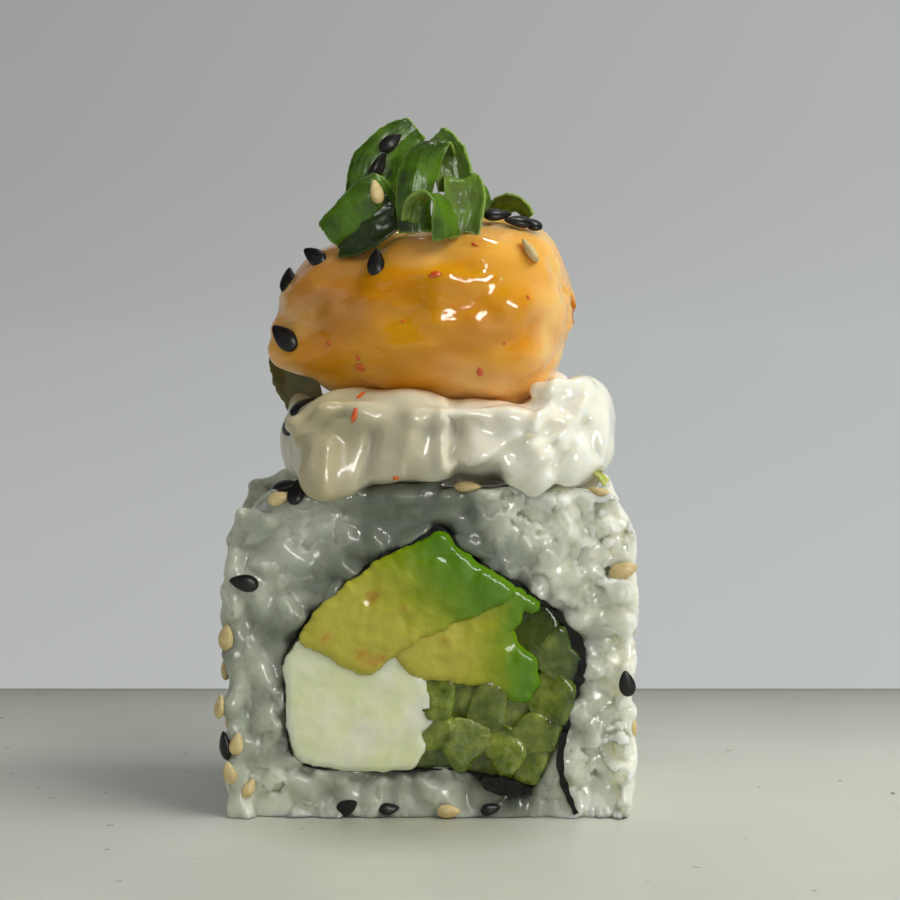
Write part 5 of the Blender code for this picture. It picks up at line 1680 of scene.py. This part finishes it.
# %% Sesame
BOARD_GAP = 0.05


def seed_finish(name, dark, pale, roughness):
    made, tree, shader = new_finish(name, roughness, coat=0.25, coat_roughness=0.2, sheen_of_body=0.3)
    paint(tree, steps(tree, patches(tree, 0.9, 4.0), (0.3, dark), (0.7, pale)), shader)
    relief(tree, shader, patches(tree, 0.22, 4.0), 0.05)
    return made


def seed_piece(name, entries, finish):
    points, faces = [], []
    for entry in entries:
        seed = dropped(*entry)
        if seed is not None:
            seed[:, 2] += max(0.0, BOARD_GAP - seed[:, 2].min())
            start = sum(len(p) for p in points)
            faces += [tuple(start + i for i in face) for face in SEED_FACES]
            points.append(seed)
    print(name, len(points), "seeds")
    return add_piece(name, np.vstack(points), faces, finish, "rice")


seed_piece("black_sesame", BLACK_SEEDS,
           seed_finish("black_sesame", screen(12, 11, 10), screen(30, 27, 25), 0.42))
seed_piece("pale_sesame", PALE_SEEDS,
           seed_finish("pale_sesame", screen(196, 170, 110), screen(228, 206, 150), 0.45))

# %% [markdown]
# Bits of chilli float in the sauce. They are small, flat and ragged, so a rough disc for each will
# do, squeezed into a streak where the sauce has dragged it along.

# %% Chilli in the sauce
CHILLI_RINGS = 8
CHILLI_SIDES = 14
CHILLI_HALF_THICK = 0.16
# Each: X and height on the front, length, width, and spin in degrees
CHILLI_BITS = [
    (-7.0, 45.6, 1.3, 0.9, 10.0), (-7.2, 46.6, 0.7, 0.5, 60.0), (5.1, 45.3, 0.9, 0.7, 80.0),
    (4.6, 58.0, 0.9, 0.4, 150.0), (-10.2, 48.0, 0.7, 0.5, 30.0), (0.6, 55.1, 1.3, 0.7, 20.0),
    (-6.9, 42.9, 1.5, 0.45, 75.0), (-7.4, 41.2, 1.6, 0.6, 80.0), (-3.3, 34.9, 0.7, 0.5, 0.0),
    (7.6, 48.2, 0.5, 0.3, 40.0), (-2.6, 50.4, 0.4, 0.3, 0.0), (9.9, 52.8, 0.5, 0.3, 120.0),
]


def chilli_bit(length, width, seed):
    """A flat ragged disc."""
    points = []
    for ring in range(CHILLI_RINGS + 1):
        lean = math.pi * ring / CHILLI_RINGS
        for side in range(CHILLI_SIDES):
            angle = 2 * math.pi * side / CHILLI_SIDES
            ragged = 1 + 0.35 * noise.noise(Vector((math.cos(angle), math.sin(angle), seed)))
            out = math.sin(lean) * ragged
            points.append((out * math.cos(angle) * length / 2, out * math.sin(angle) * width / 2,
                           math.cos(lean) * CHILLI_HALF_THICK))
    return np.array(points)


CHILLI_FACES = tube_faces(CHILLI_RINGS, CHILLI_SIDES)
sauce_surface = tree_of(prawn, cream)
chilli_finish, tree, shader = new_finish("chilli", 0.3, coat=0.5, coat_roughness=0.1)
let_light_in(shader, 0.4, 0.5, (1.0, 0.4, 0.1))
tone = steps(tree, patches(tree, 0.5), (0.3, screen(216, 78, 10)), (0.7, screen(236, 118, 24)))
paint(tree, tone, shader)
bits, faces = [], []
for number, (x, height, length, width, spin) in enumerate(CHILLI_BITS):
    hit, normal, _, _ = sauce_surface.ray_cast(Vector((x, -40.0, height)), Vector((0, 1, 0)))
    if hit is not None:
        start = sum(len(b) for b in bits)
        faces += [tuple(start + i for i in face) for face in CHILLI_FACES]
        bits.append(laid(chilli_bit(length, width, number), hit, normal, math.radians(spin)))
add_piece("chilli_bits", np.vstack(bits), faces, chilli_finish, "fried_prawn")
print(len(bits), "bits of chilli")

# %% [markdown]
# A floor and a far curved backdrop finish the studio. They are staging, not part of the food. They
# glow faintly by themselves, because the picture's grey is even: a little darker at the left, and
# darker as it rises.

# %% Floor and backdrop
floor_finish, tree, shader = new_finish("studio_paper", 0.9)
shader.inputs["Base Color"].default_value = screen(96, 96, 96)
# Painted light: the backdrop glows, lighter to the right and darker as it rises.
painted_glow_across = steps(tree, measured(tree, "across"),
                      (0.44, screen(156, 157, 156)), (0.56, screen(175, 178, 176)))
shader.inputs["Emission Strength"].default_value = 1.0
painted_glow_rising = steps(tree, measured(tree, "rising"),
                (0.0, (0.98, 1, 1)), (0.35, (0.90, 0.89, 0.89)), (1.0, (0.8, 0.8, 0.8)))
paint(tree, multiplied(tree, painted_glow_across, painted_glow_rising), shader, "Emission Color")
print("the studio's finish has", len(tree.nodes), "nodes")

# %% [markdown]
# The sweep is one profile, from the floor round a quarter circle to the wall, drawn out sideways.

# %% The sweep
SWEEP_NEAR, SWEEP_START, SWEEP_TOP = -1.4, 0.9, 1.8
SWEEP_RADIUS = 0.5
SWEEP_HALF_WIDTH = 2.0
SWEEP_STEPS = 16
profile = [(SWEEP_NEAR, 0.0), (SWEEP_START, 0.0)]
for step in range(1, SWEEP_STEPS + 1):
    angle = math.pi / 2 * step / SWEEP_STEPS
    profile.append((SWEEP_START + SWEEP_RADIUS * math.sin(angle),
                    SWEEP_RADIUS * (1 - math.cos(angle))))
profile.append((SWEEP_START + SWEEP_RADIUS, SWEEP_TOP))
mesh = bpy.data.meshes.new("studio_sweep")
points = [(x, y, z) for y, z in profile for x in (-SWEEP_HALF_WIDTH, SWEEP_HALF_WIDTH)]
faces = [(2 * i, 2 * i + 1, 2 * i + 3, 2 * i + 2) for i in range(len(profile) - 1)]
mesh.from_pydata(points, [], faces)
mesh.materials.append(floor_finish)
mesh.shade_smooth()
studio_sweep = bpy.data.objects.new("studio_sweep", mesh)
bpy.context.scene.collection.objects.link(studio_sweep)
store(studio_sweep, "across", [x / SWEEP_HALF_WIDTH / 2 + 0.5 for x, y, z in points])
store(studio_sweep, "rising", [limited((i // 2 - 1) / SWEEP_STEPS) for i in range(len(points))])
print("the sweep has", len(faces), "faces")
